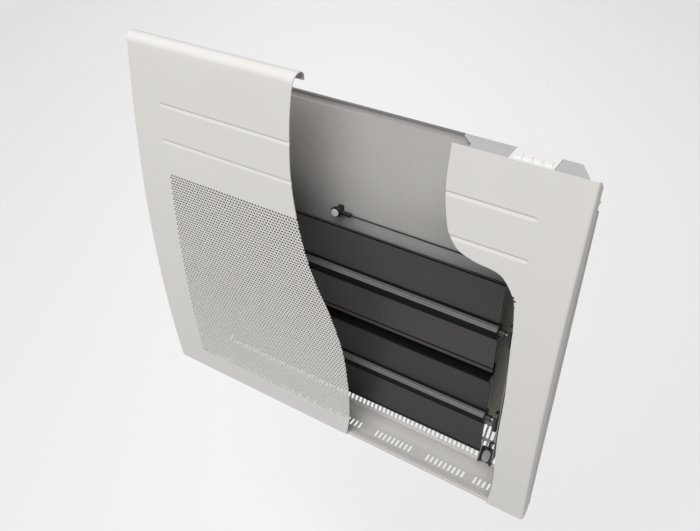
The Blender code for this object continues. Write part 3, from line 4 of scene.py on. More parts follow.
import bmesh
import bpy
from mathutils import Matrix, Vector

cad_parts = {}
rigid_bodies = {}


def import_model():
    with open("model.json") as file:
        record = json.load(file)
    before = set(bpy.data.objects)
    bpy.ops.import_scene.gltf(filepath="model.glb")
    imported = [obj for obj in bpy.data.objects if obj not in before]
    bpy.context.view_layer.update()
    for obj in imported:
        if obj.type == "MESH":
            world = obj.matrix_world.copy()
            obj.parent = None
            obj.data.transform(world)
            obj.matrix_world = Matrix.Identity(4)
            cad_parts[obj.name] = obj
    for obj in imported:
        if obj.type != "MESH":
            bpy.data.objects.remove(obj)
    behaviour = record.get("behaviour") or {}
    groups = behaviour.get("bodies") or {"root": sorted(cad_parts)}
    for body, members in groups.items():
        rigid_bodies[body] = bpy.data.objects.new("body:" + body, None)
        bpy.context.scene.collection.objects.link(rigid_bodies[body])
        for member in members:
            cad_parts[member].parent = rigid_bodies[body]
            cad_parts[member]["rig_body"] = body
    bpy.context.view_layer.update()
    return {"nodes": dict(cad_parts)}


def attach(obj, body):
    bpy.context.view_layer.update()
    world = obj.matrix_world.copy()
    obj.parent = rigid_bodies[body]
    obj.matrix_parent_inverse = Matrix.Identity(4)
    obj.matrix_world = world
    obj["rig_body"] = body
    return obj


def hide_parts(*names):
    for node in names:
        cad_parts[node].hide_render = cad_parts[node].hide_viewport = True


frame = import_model()

# Looks of a wall-hung radiant panel heater whose front is cut away.
# Depths run back from the foremost line of the bowed front, levels run up from the tray.
WALL_DEPTH = 0.106
MOUNT_LEVEL = 0.215
SHEET = 0.001

# Front: a bowed sheet, rolled over at its top, folded at its sides and foot, with two grooves
FACE_WIDTH = 0.502
FACE_TOP = 0.452
FACE_BOTTOM = -0.0035
FACE_RADIUS = 1.76
BULGE_LEVEL = 0.214
ROLL_RADIUS = 0.010
ROLL_STEPS = 20
RIGHT_TOP = 0.430
CORNER_RADIUS = 0.003
CORNER_STEPS = 8
RETURN_DEPTH = 0.015
RETURN_MITRE = 0.012
MITRE_CUTTER = 3 * RETURN_DEPTH
FOOT_FOLD = 0.013
FOOT_RADIUS = 0.0015
FOOT_STEPS = 8
GROOVE_LEVELS = (0.3442, 0.3852)
GROOVE_REACH = 0.2076
GROOVE_RAMP = 0.0015
GROOVE_RISE = 0.0021
GROOVE_FALL = 0.0030
GROOVE_DEPTH = 0.00075
GROOVE_LAND = 0.0008
BOW_STRIP = 0.011

# Perforation: rows of holes, each row half a pitch along from the one below
HOLE_PITCH = 0.003774
HOLE_ROW = 0.00339
HOLE_RADIUS = 0.00154
HOLE_SIDES = 6
FIRST_HOLE = -53.5 * HOLE_PITCH
BOTTOM_ROW = 0.0323
FIELD_ROWS = 81
TOP_ROW = BOTTOM_ROW + (FIELD_ROWS - 1) * HOLE_ROW
FIELD_COLUMNS = 63
ROW_PAIRS = math.ceil(FIELD_ROWS / 2)
FIELD_MARGIN = 0.0005
HOLE_CUTTER = 10 * SHEET
RIGHT_HOLES = ((0.2038, 0.3001), (0.2038, 0.2933), (0.2019, 0.3035))

# Edges of the two pieces of the front, as shares of its width and height
LEFT_CUT_SHARES = (
    (-0.0600, 1.060), (-0.0745, 1.000), (-0.0806, 0.940), (-0.0817, 0.860),
    (-0.0765, 0.757), (-0.0558, 0.635), (-0.0277, 0.535), (0.0038, 0.460),
    (0.0279, 0.394), (0.0468, 0.319), (0.0546, 0.232), (0.0568, 0.157),
    (0.0520, 0.069), (0.0422, 0.007), (0.0380, -0.030),
)
RIGHT_CUT_SHARES = (
    (0.2520, 1.000), (0.2494, 0.915), (0.2504, 0.860), (0.2562, 0.814),
    (0.2647, 0.773), (0.2769, 0.750), (0.2928, 0.734), (0.3227, 0.723),
    (0.3524, 0.719), (0.3719, 0.713), (0.3851, 0.700), (0.3970, 0.681),
    (0.4062, 0.656), (0.4127, 0.596), (0.4141, 0.557), (0.4199, 0.415),
    (0.4190, 0.261), (0.4229, 0.106), (0.4151, 0.009), (0.4120, -0.030),
)
CUT_STEPS = 8
CUT_DEPTHS = (-0.02, 0.06)
CUT_SPARE = 0.012

# Bottom grille: flat tray with slotted pads, slanted slotted rear, upright tab
TRAY_LEVEL = 0.001
TRAY_FRONT = 0.01516
TRAY_LIP = -0.0022
LIP_RADIUS = 0.0012
LIP_STEPS = 4
SIDE_REACH = 0.2497
SIDE_KNEE = 0.039
SLANT_START = 0.061
SLANT_TOP = 0.038
BODY_DEPTH = 0.088
TAB_DEPTH = 0.0893
TAB_REACH = 0.200
TAB_HEIGHT = 0.012
FLARE_REACH = 0.219
FLARE_END = 0.0903
PAD_OFFSET = 0.0045
PAD_PITCH = 0.0705
PAD_HALF = 0.0295
PAD_SLOTS = 9
END_PAD = (0.1785, 0.2130)
END_PAD_SLOTS = 5
PAD_FRONT = 0.021
PAD_BACK = 0.047
PAD_SLOPE = 0.003
PAD_DROP = 0.001
SLOT_PITCH = 0.0058
SLOT_WIDTH = 0.0028
SLOT_FRONT = 0.0280
SLOT_BACK = 0.0385
SLOT_ROUND_SHARE = 0.35
SLOT_CUTTER = 6 * SHEET
REAR_SLOT_PITCH = 0.0058
REAR_SLOT_WIDTH = 0.0036
REAR_SLOT_REACH = 0.2070
REAR_EDGE = 0.012
REAR_ROWS = ((0.0035, 0.0250), (0.0285, 0.0440))

# Casing and control box
BACK_TOP = 0.400
HEM_FOOT = 0.3912
# Leans of the hem's faces that get darker zinc as painted shade
HEM_FRONT_LEAN = -0.3
HEM_TOP_LEAN = 0.5
# Height of the dark strip of painted shade along the back panel's top edge
SHADE_STRIP_HEIGHT = 1.2 * SHEET
FASCIA_REAR = 0.0857
LID_REAR = 0.0912
KEY_SWELL = (1.08, 1.065)

# Radiant plates: fins end short of the face, fine ribs on the crest of each boss with a painted
# highlight, painted shade below it and in the creases
PLATE_DEPTH = 0.045
PLATE_BACK = 0.047
CREASE_DEEP = 0.001
FIN_SETBACK = 0.010
TUBE_LEVELS = (0.2203, 0.0950)
TUBE_HALF = 0.0104
# Leans that split a boss into a painted highlight on its crest and painted shade in black above and
# below it
BOSS_TOP = 0.96
CREST_LEAN = 0.1
UNDERSIDE_LEAN = -0.3
RAIL_SHRINK = 0.985
# In millimetres, and as coarse as the crest's ribs and their painted highlight have to be to show
RIB_PITCH = 2.6

# Sleeves on the leads, and the limiter's holder
SLEEVE_LEVELS = (0.025, 0.045)
SLEEVE_WALL = 0.0007
SLEEVE_SWELL = 1.5
HOLDER_SHRINK = 0.8

# Draw lines per metre along and across an extrusion. Real ones are finer than a pixel
DRAWN_FINE = (4, 700, 700)

# Studio: a broad key lamp from the front, its turn and height in degrees, under an even sky
KEY_TURN = 3
KEY_HEIGHT = 50
KEY_SPREAD = 50
KEY_POWER = 2.6
SKY_ABOVE = 0.42
SKY_BELOW = 0.18
SKY_BLEND = 0.25
# Floor, with a painted pool of light that fades out from its middle
FLOOR = -1.20
FLOOR_SIZE = 14
FLOOR_FADE = 2.0
FLOOR_MIDDLE = (-0.66, 1.0)
FLOOR_TURN = 32
FLOOR_SPREAD = (1.2, 4.0)

# Tolerances and angles that several pieces share
HALF_WIDTH = FACE_WIDTH / 2
EDGE_STEPS = 2
WELD = 0.00001
TINY = 0.00005
# An edge shorter than this belongs to the rim of a hole
HOLE_EDGE = 1.3 * HOLE_RADIUS
# Scale at which the wave pattern has one band to the millimetre
WAVE_UNIT = 1000 / 20 * 2 * math.pi
SMOOTH = math.radians(40)
FACET = math.radians(8)
FOLD = math.radians(12)
SHARP = math.radians(35)
FLAT = math.radians(0.5)


def deep(depth):
    """World Y of a depth behind the front's foremost line."""
    return depth - WALL_DEPTH


def up(level):
    """World Z of a level above the tray."""
    return level - MOUNT_LEVEL


def face_depth(level):
    """Depth of the bowed front at a level."""
    return FACE_RADIUS - math.sqrt(FACE_RADIUS ** 2 - (level - BULGE_LEVEL) ** 2)


def place_camera():
    """Camera where the photograph was taken from."""
    data = bpy.data.cameras.new("camera")
    data.lens = 38.147
    data.sensor_width = 36.0
    camera = bpy.data.objects.new("camera", data)
    bpy.context.scene.collection.objects.link(camera)
    camera.location = (0.34906, -0.60887, 0.50442)
    camera.rotation_euler = (math.radians(53.108), 0.0, math.radians(32.106))
    bpy.context.scene.camera = camera


def linear(code):
    """Linear colour of an sRGB hex code."""
    parts = [int(code[at:at + 2], 16) / 255 for at in (1, 3, 5)]
    return (*(p / 12.92 if p <= 0.04045 else ((p + 0.055) / 1.055) ** 2.4 for p in parts), 1.0)


def add(tree, kind, inputs=None, **settings):
    """Add a node with its settings, its inputs fed by values or by other nodes' outputs."""
    new = tree.nodes.new(kind)
    for key, value in settings.items():
        setattr(new, key, value)
    for key, value in (inputs or {}).items():
        if isinstance(value, bpy.types.NodeSocket):
            tree.links.new(value, new.inputs[key])
        else:
            new.inputs[key].default_value = value
    return new


def surface(name, roughness, metallic=0.0, ior=1.5):
    """New material with its tree, shader and Object coordinates."""
    material = bpy.data.materials.new(name)
    material.use_nodes = True
    tree = material.node_tree
    shader = tree.nodes["Principled BSDF"]
    shader.inputs["Roughness"].default_value = roughness
    shader.inputs["Metallic"].default_value = metallic
    if not metallic:
        shader.inputs["IOR"].default_value = ior
    return material, tree, shader, add(tree, "ShaderNodeTexCoord").outputs["Object"]


def tinted(tree, shader, factor, dark, light):
    """Base colour that runs between two hex colours with a pattern."""
    mix = add(tree, "ShaderNodeMix", {0: factor, 6: linear(dark), 7: linear(light)},
              data_type="RGBA")
    tree.links.new(mix.outputs[2], shader.inputs["Base Color"])


def raised(tree, shader, height, strength, distance):
    """Relief of a surface from a pattern, its distance in metres."""
    bump = add(tree, "ShaderNodeBump", {"Height": height, "Strength": strength,
                                        "Distance": distance})
    tree.links.new(bump.outputs["Normal"], shader.inputs["Normal"])


def powder_coat(name, dark, light, peel_mm, gloss):
    """Baked powder coat on steel: matt, with shallow orange peel and faint cloudiness."""
    material, tree, shader, place = surface(name, gloss)
    cloud = add(tree, "ShaderNodeTexNoise", {"Vector": place, "Scale": 11.0, "Detail": 2.0})
    grain = add(tree, "ShaderNodeTexNoise", {"Vector": place, "Scale": 900.0, "Detail": 1.0})
    both = add(tree, "ShaderNodeMath", {0: cloud.outputs[0], 1: grain.outputs[0]},
               operation="MULTIPLY")
    tinted(tree, shader, both.outputs[0], dark, light)
    peel = add(tree, "ShaderNodeTexNoise", {"Vector": place, "Scale": 1000 / peel_mm,
                                            "Detail": 2.0})
    raised(tree, shader, peel.outputs[0], 0.15, 0.0002)
    return material


def zinc_sheet(name, dark, light, spangle_mm, gloss, metallic):
    """Hot-dip galvanised sheet: dull grey metal with a faint crystal spangle."""
    material, tree, shader, place = surface(name, gloss, metallic)
    crystal = add(tree, "ShaderNodeTexVoronoi", {"Vector": place, "Scale": 1000 / spangle_mm})
    cloud = add(tree, "ShaderNodeTexNoise", {"Vector": place, "Scale": 30.0, "Detail": 4.0})
    blend = add(tree, "ShaderNodeMix", {0: 0.7, 2: crystal.outputs["Color"],
                                        3: cloud.outputs[0]})
    tinted(tree, shader, blend.outputs[0], dark, light)
    rough = add(tree, "ShaderNodeMapRange", {0: cloud.outputs[0], 3: gloss - 0.06,
                                             4: gloss + 0.08})
    tree.links.new(rough.outputs[0], shader.inputs["Roughness"])
    raised(tree, shader, cloud.outputs[0], 0.05, 0.0003)
    return material


def drawn_metal(name, dark, light, gloss, stretch, metallic):
    """Drawn, extruded or turned metal, with lines per metre on X, Y and Z coarse enough to show."""
    material, tree, shader, place = surface(name, gloss, metallic)
    along = add(tree, "ShaderNodeMapping", {"Vector": place, "Scale": stretch})
    lines = add(tree, "ShaderNodeTexNoise", {"Vector": along.outputs[0], "Scale": 1.0,
                                             "Detail": 3.0})
    tinted(tree, shader, lines.outputs[0], dark, light)
    rough = add(tree, "ShaderNodeMapRange", {0: lines.outputs[0], 3: gloss - 0.07,
                                             4: gloss + 0.07})
    tree.links.new(rough.outputs[0], shader.inputs["Roughness"])
    raised(tree, shader, lines.outputs[0], 0.1, 0.0002)
    return material


def moulded(name, dark, light, gloss, grain_mm=0.9, relief=0.25, ior=1.5):
    """Moulded piece with slightly uneven colour, its real grain drawn coarser, to show."""
    material, tree, shader, place = surface(name, gloss, 0.0, ior)
    cloud = add(tree, "ShaderNodeTexNoise", {"Vector": place, "Scale": 60.0, "Detail": 3.0})
    tinted(tree, shader, cloud.outputs[0], dark, light)
    grain = add(tree, "ShaderNodeTexVoronoi", {"Vector": place, "Scale": 1000 / grain_mm},
                feature="SMOOTH_F1")
    raised(tree, shader, grain.outputs["Distance"], relief, 0.0001)
    return material


def ribbed_crest(name, dark, light, gloss, pitch_mm):
    """Anodised metal with fine ribs along X, pale on their tops as a painted highlight."""
    material, tree, shader, place = surface(name, gloss, 0.1)
    lean = add(tree, "ShaderNodeMapping", {"Vector": place, "Rotation": (math.radians(45), 0, 0)})
    ribs = add(tree, "ShaderNodeTexWave", {"Vector": lean.outputs[0], "Scale": WAVE_UNIT / pitch_mm,
                                           "Distortion": 0.0}, bands_direction="Z")
    tinted(tree, shader, ribs.outputs["Fac"], dark, light)
    raised(tree, shader, ribs.outputs["Fac"], 0.3, 0.0003)
    return material


def board_laminate(name):
    """Glass-epoxy laminate under green solder mask, its traces drawn coarser, to show."""
    material, tree, shader, place = surface(name, 0.35)
    paths = add(tree, "ShaderNodeTexBrick", {
        "Vector": place, "Scale": 90.0, "Mortar Size": 0.03, "Color1": linear("#1d5a35"),
        "Color2": linear("#246b40"), "Mortar": linear("#3f8d58")}, offset=0.5)
    tree.links.new(paths.outputs["Color"], shader.inputs["Base Color"])
    raised(tree, shader, paths.outputs["Fac"], 0.2, 0.0001)
    return material


def activate(item):
    """Select a piece by itself and work on it."""
    bpy.ops.object.select_all(action="DESELECT")
    item.select_set(True)
    bpy.context.view_layer.objects.active = item


def begin(name, primitive, stretch=(1.0, 1.0, 1.0), **settings):
    """Add a primitive as the start of a piece, with nothing else selected."""
    bpy.ops.object.select_all(action="DESELECT")
    primitive(**settings)
    item = bpy.context.object
    item.name = item.data.name = name
    item.scale = stretch
    bpy.ops.object.transform_apply(location=True, rotation=True, scale=True)
    return item


def pick(item, kind, test):
    """Select in edit mode the elements of a kind that pass a test."""
    if bpy.context.mode == "OBJECT":
        bpy.ops.object.mode_set(mode="EDIT")
    bpy.ops.mesh.select_mode(type=kind)
    bpy.ops.mesh.select_all(action="DESELECT")
    shape = bmesh.from_edit_mesh(item.data)
    for element in {"VERT": shape.verts, "EDGE": shape.edges, "FACE": shape.faces}[kind]:
        if test(element):
            element.select_set(True)
    bmesh.update_edit_mesh(item.data)


def middle(edge):
    """Point halfway along an edge."""
    return (edge.verts[0].co + edge.verts[1].co) / 2


def pull(x=0.0, y=0.0, z=0.0):
    """Extrude the selected edges by a distance."""
    bpy.ops.mesh.extrude_edges_move(TRANSFORM_OT_translate={"value": (x, y, z)})


def close_edit():
    """Go back to object mode."""
    bpy.ops.object.mode_set(mode="OBJECT")


def change(item, kind, **settings):
    """Give a piece a modifier with its settings and apply it."""
    activate(item)
    modifier = item.modifiers.new(kind.lower(), kind)
    for key, value in settings.items():
        setattr(modifier, key, value)
    bpy.ops.object.modifier_apply(modifier=modifier.name)


def subtract(item, cutter):
    """Take a closed cutter's volume out of a piece and delete the cutter."""
    change(item, "BOOLEAN", operation="DIFFERENCE", solver="EXACT", object=cutter)
    bpy.data.objects.remove(cutter)


def smooth_line(points, steps):
    """Points of a smooth curve through the given ones."""
    line = []
    ends = [points[0]] + list(points) + [points[-1]]
    for a, b, c, d in zip(ends, ends[1:], ends[2:], ends[3:]):
        for step in range(steps):
            t = step / steps
            line.append(tuple(
                0.5 * (2 * q + (r - p) * t + (2 * p - 5 * q + 4 * r - s) * t * t
                       + (3 * q - p - 3 * r + s) * t ** 3)
                for p, q, r, s in zip(a, b, c, d)))
    return line + [tuple(points[-1])]


def cut_line(shares):
    """Smooth edge of a piece of the front, as X and level."""
    return smooth_line([(x * FACE_WIDTH, level * FACE_TOP) for x, level in shares], CUT_STEPS)


def cut_away(item, line, side):
    """Cut the front sheet along a line and drop what lies beyond it."""
    far = side * FACE_WIDTH
    outline = line + [(far, line[-1][1]), (far, line[0][1])]
    shape = bmesh.new()
    ends = [[shape.verts.new((x, deep(depth), up(level))) for x, level in outline]
            for depth in CUT_DEPTHS]
    shape.faces.new(ends[0])
    shape.faces.new(ends[1])
    for at in range(len(outline)):
        shape.faces.new((ends[0][at - 1], ends[0][at], ends[1][at], ends[1][at - 1]))
    bmesh.ops.recalc_face_normals(shape, faces=shape.faces)
    mesh = bpy.data.meshes.new("cutter")
    shape.to_mesh(mesh)
    shape.free()
    cutter = bpy.data.objects.new("cutter", mesh)
    bpy.context.scene.collection.objects.link(cutter)
    subtract(item, cutter)


def rows_between(low, high):
    """Levels after low up to high, close enough for the bow, with five at each groove."""
    marks = [low, high]
    for groove in GROOVE_LEVELS:
        if low < groove < high:
            marks += [groove + share for share in (-GROOVE_FALL - GROOVE_LAND, -GROOVE_FALL, 0,
                                                   GROOVE_RISE, GROOVE_RISE + GROOVE_LAND)]
    marks.sort()
    rows = []
    for start, stop in zip(marks, marks[1:]):
        count = math.ceil((stop - start) / BOW_STRIP)
        rows += [start + (stop - start) * (step + 1) / count for step in range(count)]
    return rows


def pull_rows(start, rows):
    """Extrude the selected edges through levels, from the one they are at."""
    for level in rows:
        pull(z=level - start)
        start = level


def fold_side(item, side, at_x):
    """Extrude a side of the flat front to its bent edge and flange."""
    rows = (BOTTOM_ROW - HOLE_ROW / 2, TOP_ROW + HOLE_ROW / 2)

    def outer(edge):
        spot = middle(edge)
        hole = edge.calc_length() < HOLE_EDGE and up(rows[0]) < spot.z < up(rows[1])
        return edge.is_boundary and side * spot.x > side * at_x - TINY and not hole

    pick(item, "EDGE", outer)
    # The hole field ends in steps, which are first drawn out to one straight line
    if side < 0:
        pull()
        bpy.ops.transform.resize(value=(0, 1, 1), center_override=(side * GROOVE_REACH, 0, 0))
    flat_end = HALF_WIDTH - CORNER_RADIUS
    stops = [GROOVE_REACH, GROOVE_REACH + GROOVE_RAMP, (GROOVE_REACH + flat_end) / 2, flat_end]
    for before, after in zip(stops, stops[1:]):
        pull(x=side * (after - before))
    bpy.ops.mesh.spin(steps=CORNER_STEPS, angle=math.radians(90), axis=(0, 0, -side),
                      center=(side * flat_end, deep(CORNER_RADIUS), 0))
    pull(y=RETURN_DEPTH - CORNER_RADIUS)
    close_edit()


def bow(item):
    """Bend the flat front to its bow and press its grooves in."""
    for vert in item.data.vertices:
        level = vert.co.z + MOUNT_LEVEL
        groove = any(abs(level - mark) < WELD for mark in GROOVE_LEVELS)
        if groove and abs(vert.co.x) < GROOVE_REACH + WELD:
            vert.co.y += GROOVE_DEPTH
        vert.co.y += face_depth(level)


def fold_foot(item):
    """Fold the lower edge of the front back under the tray."""
    low = FACE_BOTTOM + FOOT_RADIUS
    start = deep(face_depth(low))
    pick(item, "EDGE", lambda edge: edge.is_boundary and abs(middle(edge).z - up(low)) < TINY
         and middle(edge).y < start + TINY)
    bpy.ops.mesh.spin(steps=FOOT_STEPS, angle=math.radians(90), axis=(-1, 0, 0),
                      center=(0, start + FOOT_RADIUS, up(low)))
    pull(y=FOOT_FOLD - FOOT_RADIUS)
    close_edit()


def thicken(item, facing):
    """Weld an open sheet, turn its faces the given way and thicken it behind them."""
    pick(item, "VERT", lambda vert: True)
    bpy.ops.mesh.remove_doubles(threshold=WELD)
    bpy.ops.mesh.normals_make_consistent(inside=False)
    shape = bmesh.from_edit_mesh(item.data)
    lean = sum((face.normal * face.calc_area() for face in shape.faces), Vector())
    if lean.dot(Vector(facing)) < 0:
        bpy.ops.mesh.flip_normals()
    close_edit()
    change(item, "SOLIDIFY", thickness=SHEET, offset=-1.0, use_even_offset=True)


def finish_piece(item, material, slot, *nodes, body="heater", smooth=SMOOTH):
    """Give a finished piece its material and let it stand for CAD nodes."""
    activate(item)
    bpy.ops.object.shade_smooth_by_angle(angle=smooth)
    item.data.materials.clear()
    item.data.materials.append(material)
    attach(item, body)
    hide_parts(*nodes)
    return item


def front_sheet_left(material):
    """Larger piece of the front: perforated field, grooves, rolled top, folded edges."""
    # One hole in a tile of sheet, repeated along the row and up in staggered rows
    item = begin("front_sheet_left", bpy.ops.mesh.primitive_circle_add, vertices=HOLE_SIDES,
                 radius=HOLE_RADIUS, fill_type="NOTHING",
                 location=(FIRST_HOLE, deep(0), up(BOTTOM_ROW)), rotation=(math.pi / 2, 0, 0))
    pick(item, "EDGE", lambda edge: True)
    pull()
    widen = HOLE_PITCH / 2 / (HOLE_RADIUS * math.cos(math.pi / HOLE_SIDES))
    bpy.ops.transform.resize(value=(widen, 1, HOLE_ROW * 2 / 3 / HOLE_RADIUS),
                             center_override=(FIRST_HOLE, deep(0), up(BOTTOM_ROW)))
    close_edit()
    for count, offset in ((FIELD_COLUMNS, (HOLE_PITCH, 0, 0)), (2, (-HOLE_PITCH / 2, 0, HOLE_ROW)),
                          (ROW_PAIRS, (0, 0, 2 * HOLE_ROW))):
        change(item, "ARRAY", count=count, use_relative_offset=False, use_constant_offset=True,
               constant_offset_displace=offset, use_merge_vertices=True, merge_threshold=WELD)
    pick(item, "FACE", lambda face: face.calc_center_median().z > up(TOP_ROW + HOLE_ROW / 2))
    bpy.ops.mesh.delete(type="FACE")
    pick(item, "VERT", lambda vert: True)
    bpy.ops.mesh.remove_doubles(threshold=WELD)

    # Plain sheet above and below the field, up to the rolled top and down to the foot
    tile = HOLE_ROW * 2 / 3
    seat, centre = roll_seat()
    ends = ((BOTTOM_ROW, -1, BOTTOM_ROW - tile - FIELD_MARGIN),
            (TOP_ROW, 1, TOP_ROW + tile + FIELD_MARGIN))
    for row, way, rim in ends:
        pick(item, "EDGE", lambda edge: edge.is_boundary
             and way * (middle(edge).z - up(row)) > HOLE_ROW / 3
             and edge.calc_length() > HOLE_EDGE)
        pull()
        bpy.ops.transform.resize(value=(1, 1, 0), center_override=(0, 0, up(rim)))
        if way > 0:
            pull_rows(rim, rows_between(rim, seat))
        else:
            rows = rows_between(FACE_BOTTOM + FOOT_RADIUS, rim)[-2::-1]
            pull_rows(rim, rows + [FACE_BOTTOM + FOOT_RADIUS])
    fold_side(item, -1, FIRST_HOLE - HOLE_PITCH / 2)
    bow(item)
    fold_foot(item)
    # Half a turn for the rolled top, set back to its radius where the spin strays
    known = len(item.data.vertices)
    pick(item, "EDGE", lambda edge: edge.is_boundary and abs(middle(edge).z - up(seat)) < TINY
         and middle(edge).y < deep(face_depth(seat)) + CORNER_RADIUS + TINY)
    bpy.ops.mesh.spin(steps=ROLL_STEPS, angle=math.pi, axis=(1, 0, 0),
                      center=(0, deep(centre[0]), up(centre[1])))
    close_edit()
    axis = Vector((0, deep(centre[0]), up(centre[1])))
    for vert in item.data.vertices[known:]:
        arm = vert.co - axis - Vector((vert.co.x, 0, 0))
        vert.co += arm * (ROLL_RADIUS / arm.length - 1)
    thicken(item, (0, -1, 0))
    cut_away(item, cut_line(LEFT_CUT_SHARES), 1)
    return finish_piece(item, material, "front_enamel", "front_panel_left", smooth=FOLD)


def roll_seat():
    """Level where the rolled top leaves the bow, and depth and level of the roll's centre."""
    lean = math.asin((FACE_TOP - ROLL_RADIUS - BULGE_LEVEL) / FACE_RADIUS)
    seat = FACE_TOP - ROLL_RADIUS * (1 - math.sin(lean))
    centre = (face_depth(seat) + ROLL_RADIUS * math.cos(lean), seat - ROLL_RADIUS * math.sin(lean))
    return seat, centre


def front_sheet_right(material):
    """Narrow piece of the front beyond the opening, with the last holes of the field."""
    line = cut_line(RIGHT_CUT_SHARES)
    low = FACE_BOTTOM + FOOT_RADIUS
    start = min(x for x, level in line) - CUT_SPARE
    height = rows_between(low, RIGHT_TOP)[0] - low
    item = begin("front_sheet_right", bpy.ops.mesh.primitive_plane_add, size=1,
                 stretch=(GROOVE_REACH - start, height, 1),
                 location=((GROOVE_REACH + start) / 2, deep(0), up(low + height / 2)),
                 rotation=(math.pi / 2, 0, 0))
    pick(item, "EDGE", lambda edge: middle(edge).z > up(low + height) - TINY)
    pull_rows(low + height, rows_between(low, RIGHT_TOP)[1:])
    fold_side(item, 1, GROOVE_REACH)
    bow(item)
    fold_foot(item)
    thicken(item, (0, -1, 0))
    cut_away(item, line, -1)
    rise = math.atan2(RETURN_MITRE, RETURN_DEPTH - CORNER_RADIUS)
    depth = face_depth(RIGHT_TOP) + CORNER_RADIUS
    wedge = begin("wedge", bpy.ops.mesh.primitive_cube_add, size=MITRE_CUTTER,
                  rotation=(-rise, 0, 0))
    for vert in wedge.data.vertices:
        vert.co.x += HALF_WIDTH
    off = MITRE_CUTTER / 2
    wedge.location = (0, deep(depth) + off * math.sin(rise), up(RIGHT_TOP) + off * math.cos(rise))
    subtract(item, wedge)
    for x, level in RIGHT_HOLES:
        hole = begin("hole", bpy.ops.mesh.primitive_cylinder_add, vertices=HOLE_SIDES,
                     radius=HOLE_RADIUS, depth=HOLE_CUTTER, rotation=(math.pi / 2, 0, 0),
                     location=(x, deep(face_depth(level)), up(level)))
        subtract(item, hole)
    return finish_piece(item, material, "front_enamel", "front_panel_right", smooth=FOLD)


def side_line(depth):
    """Outer half width of the flared casing at a depth."""
    slope = (SIDE_REACH - FLARE_REACH) / (FLARE_END - SIDE_KNEE)
    return SIDE_REACH - slope * max(0.0, depth - SIDE_KNEE)


def slant_point(along):
    """Depth and level of a point up the slanted grille's inner face."""
    angle = math.atan2(SLANT_TOP - TRAY_LEVEL, BODY_DEPTH - SLANT_START)
    return SLANT_START + along * math.cos(angle), TRAY_LEVEL + along * math.sin(angle)


def pull_to_depth(start, stop, rise=0.0):
    """Extrude the selected edge of the tray back to a depth and draw it in to the flare."""
    pull(y=stop - start, z=rise)
    ratio = side_line(stop) / side_line(start)
    bpy.ops.transform.resize(value=(ratio, 1, 1), center_override=(0, 0, 0))


def slot_cutters(name, xs, size, depth, level, tilt=0.0):
    """Bars that cut a row of slots, made of one bar with rounded ends."""
    bar = begin(name, bpy.ops.mesh.primitive_cube_add, size=1, stretch=size,
                location=(xs[0], deep(depth), up(level)), rotation=(tilt, 0, 0))
    change(bar, "BEVEL", width=min(size[0], size[1]) * SLOT_ROUND_SHARE,
           segments=EDGE_STEPS, limit_method="NONE")
    pitch = (xs[-1] - xs[0]) / (len(xs) - 1)
    change(bar, "ARRAY", count=len(xs), use_relative_offset=False, use_constant_offset=True,
           constant_offset_displace=(pitch, 0, 0))
    return bar


def pad_spans():
    """Ranges of X of the recessed pads, with their count of slots."""
    inner, outer = END_PAD
    spans = [(-outer, -inner, END_PAD_SLOTS)]
    for step in range(-2, 3):
        centre = PAD_OFFSET + step * PAD_PITCH
        spans.append((centre - PAD_HALF, centre + PAD_HALF, PAD_SLOTS))
    return spans + [(inner, outer, END_PAD_SLOTS)]


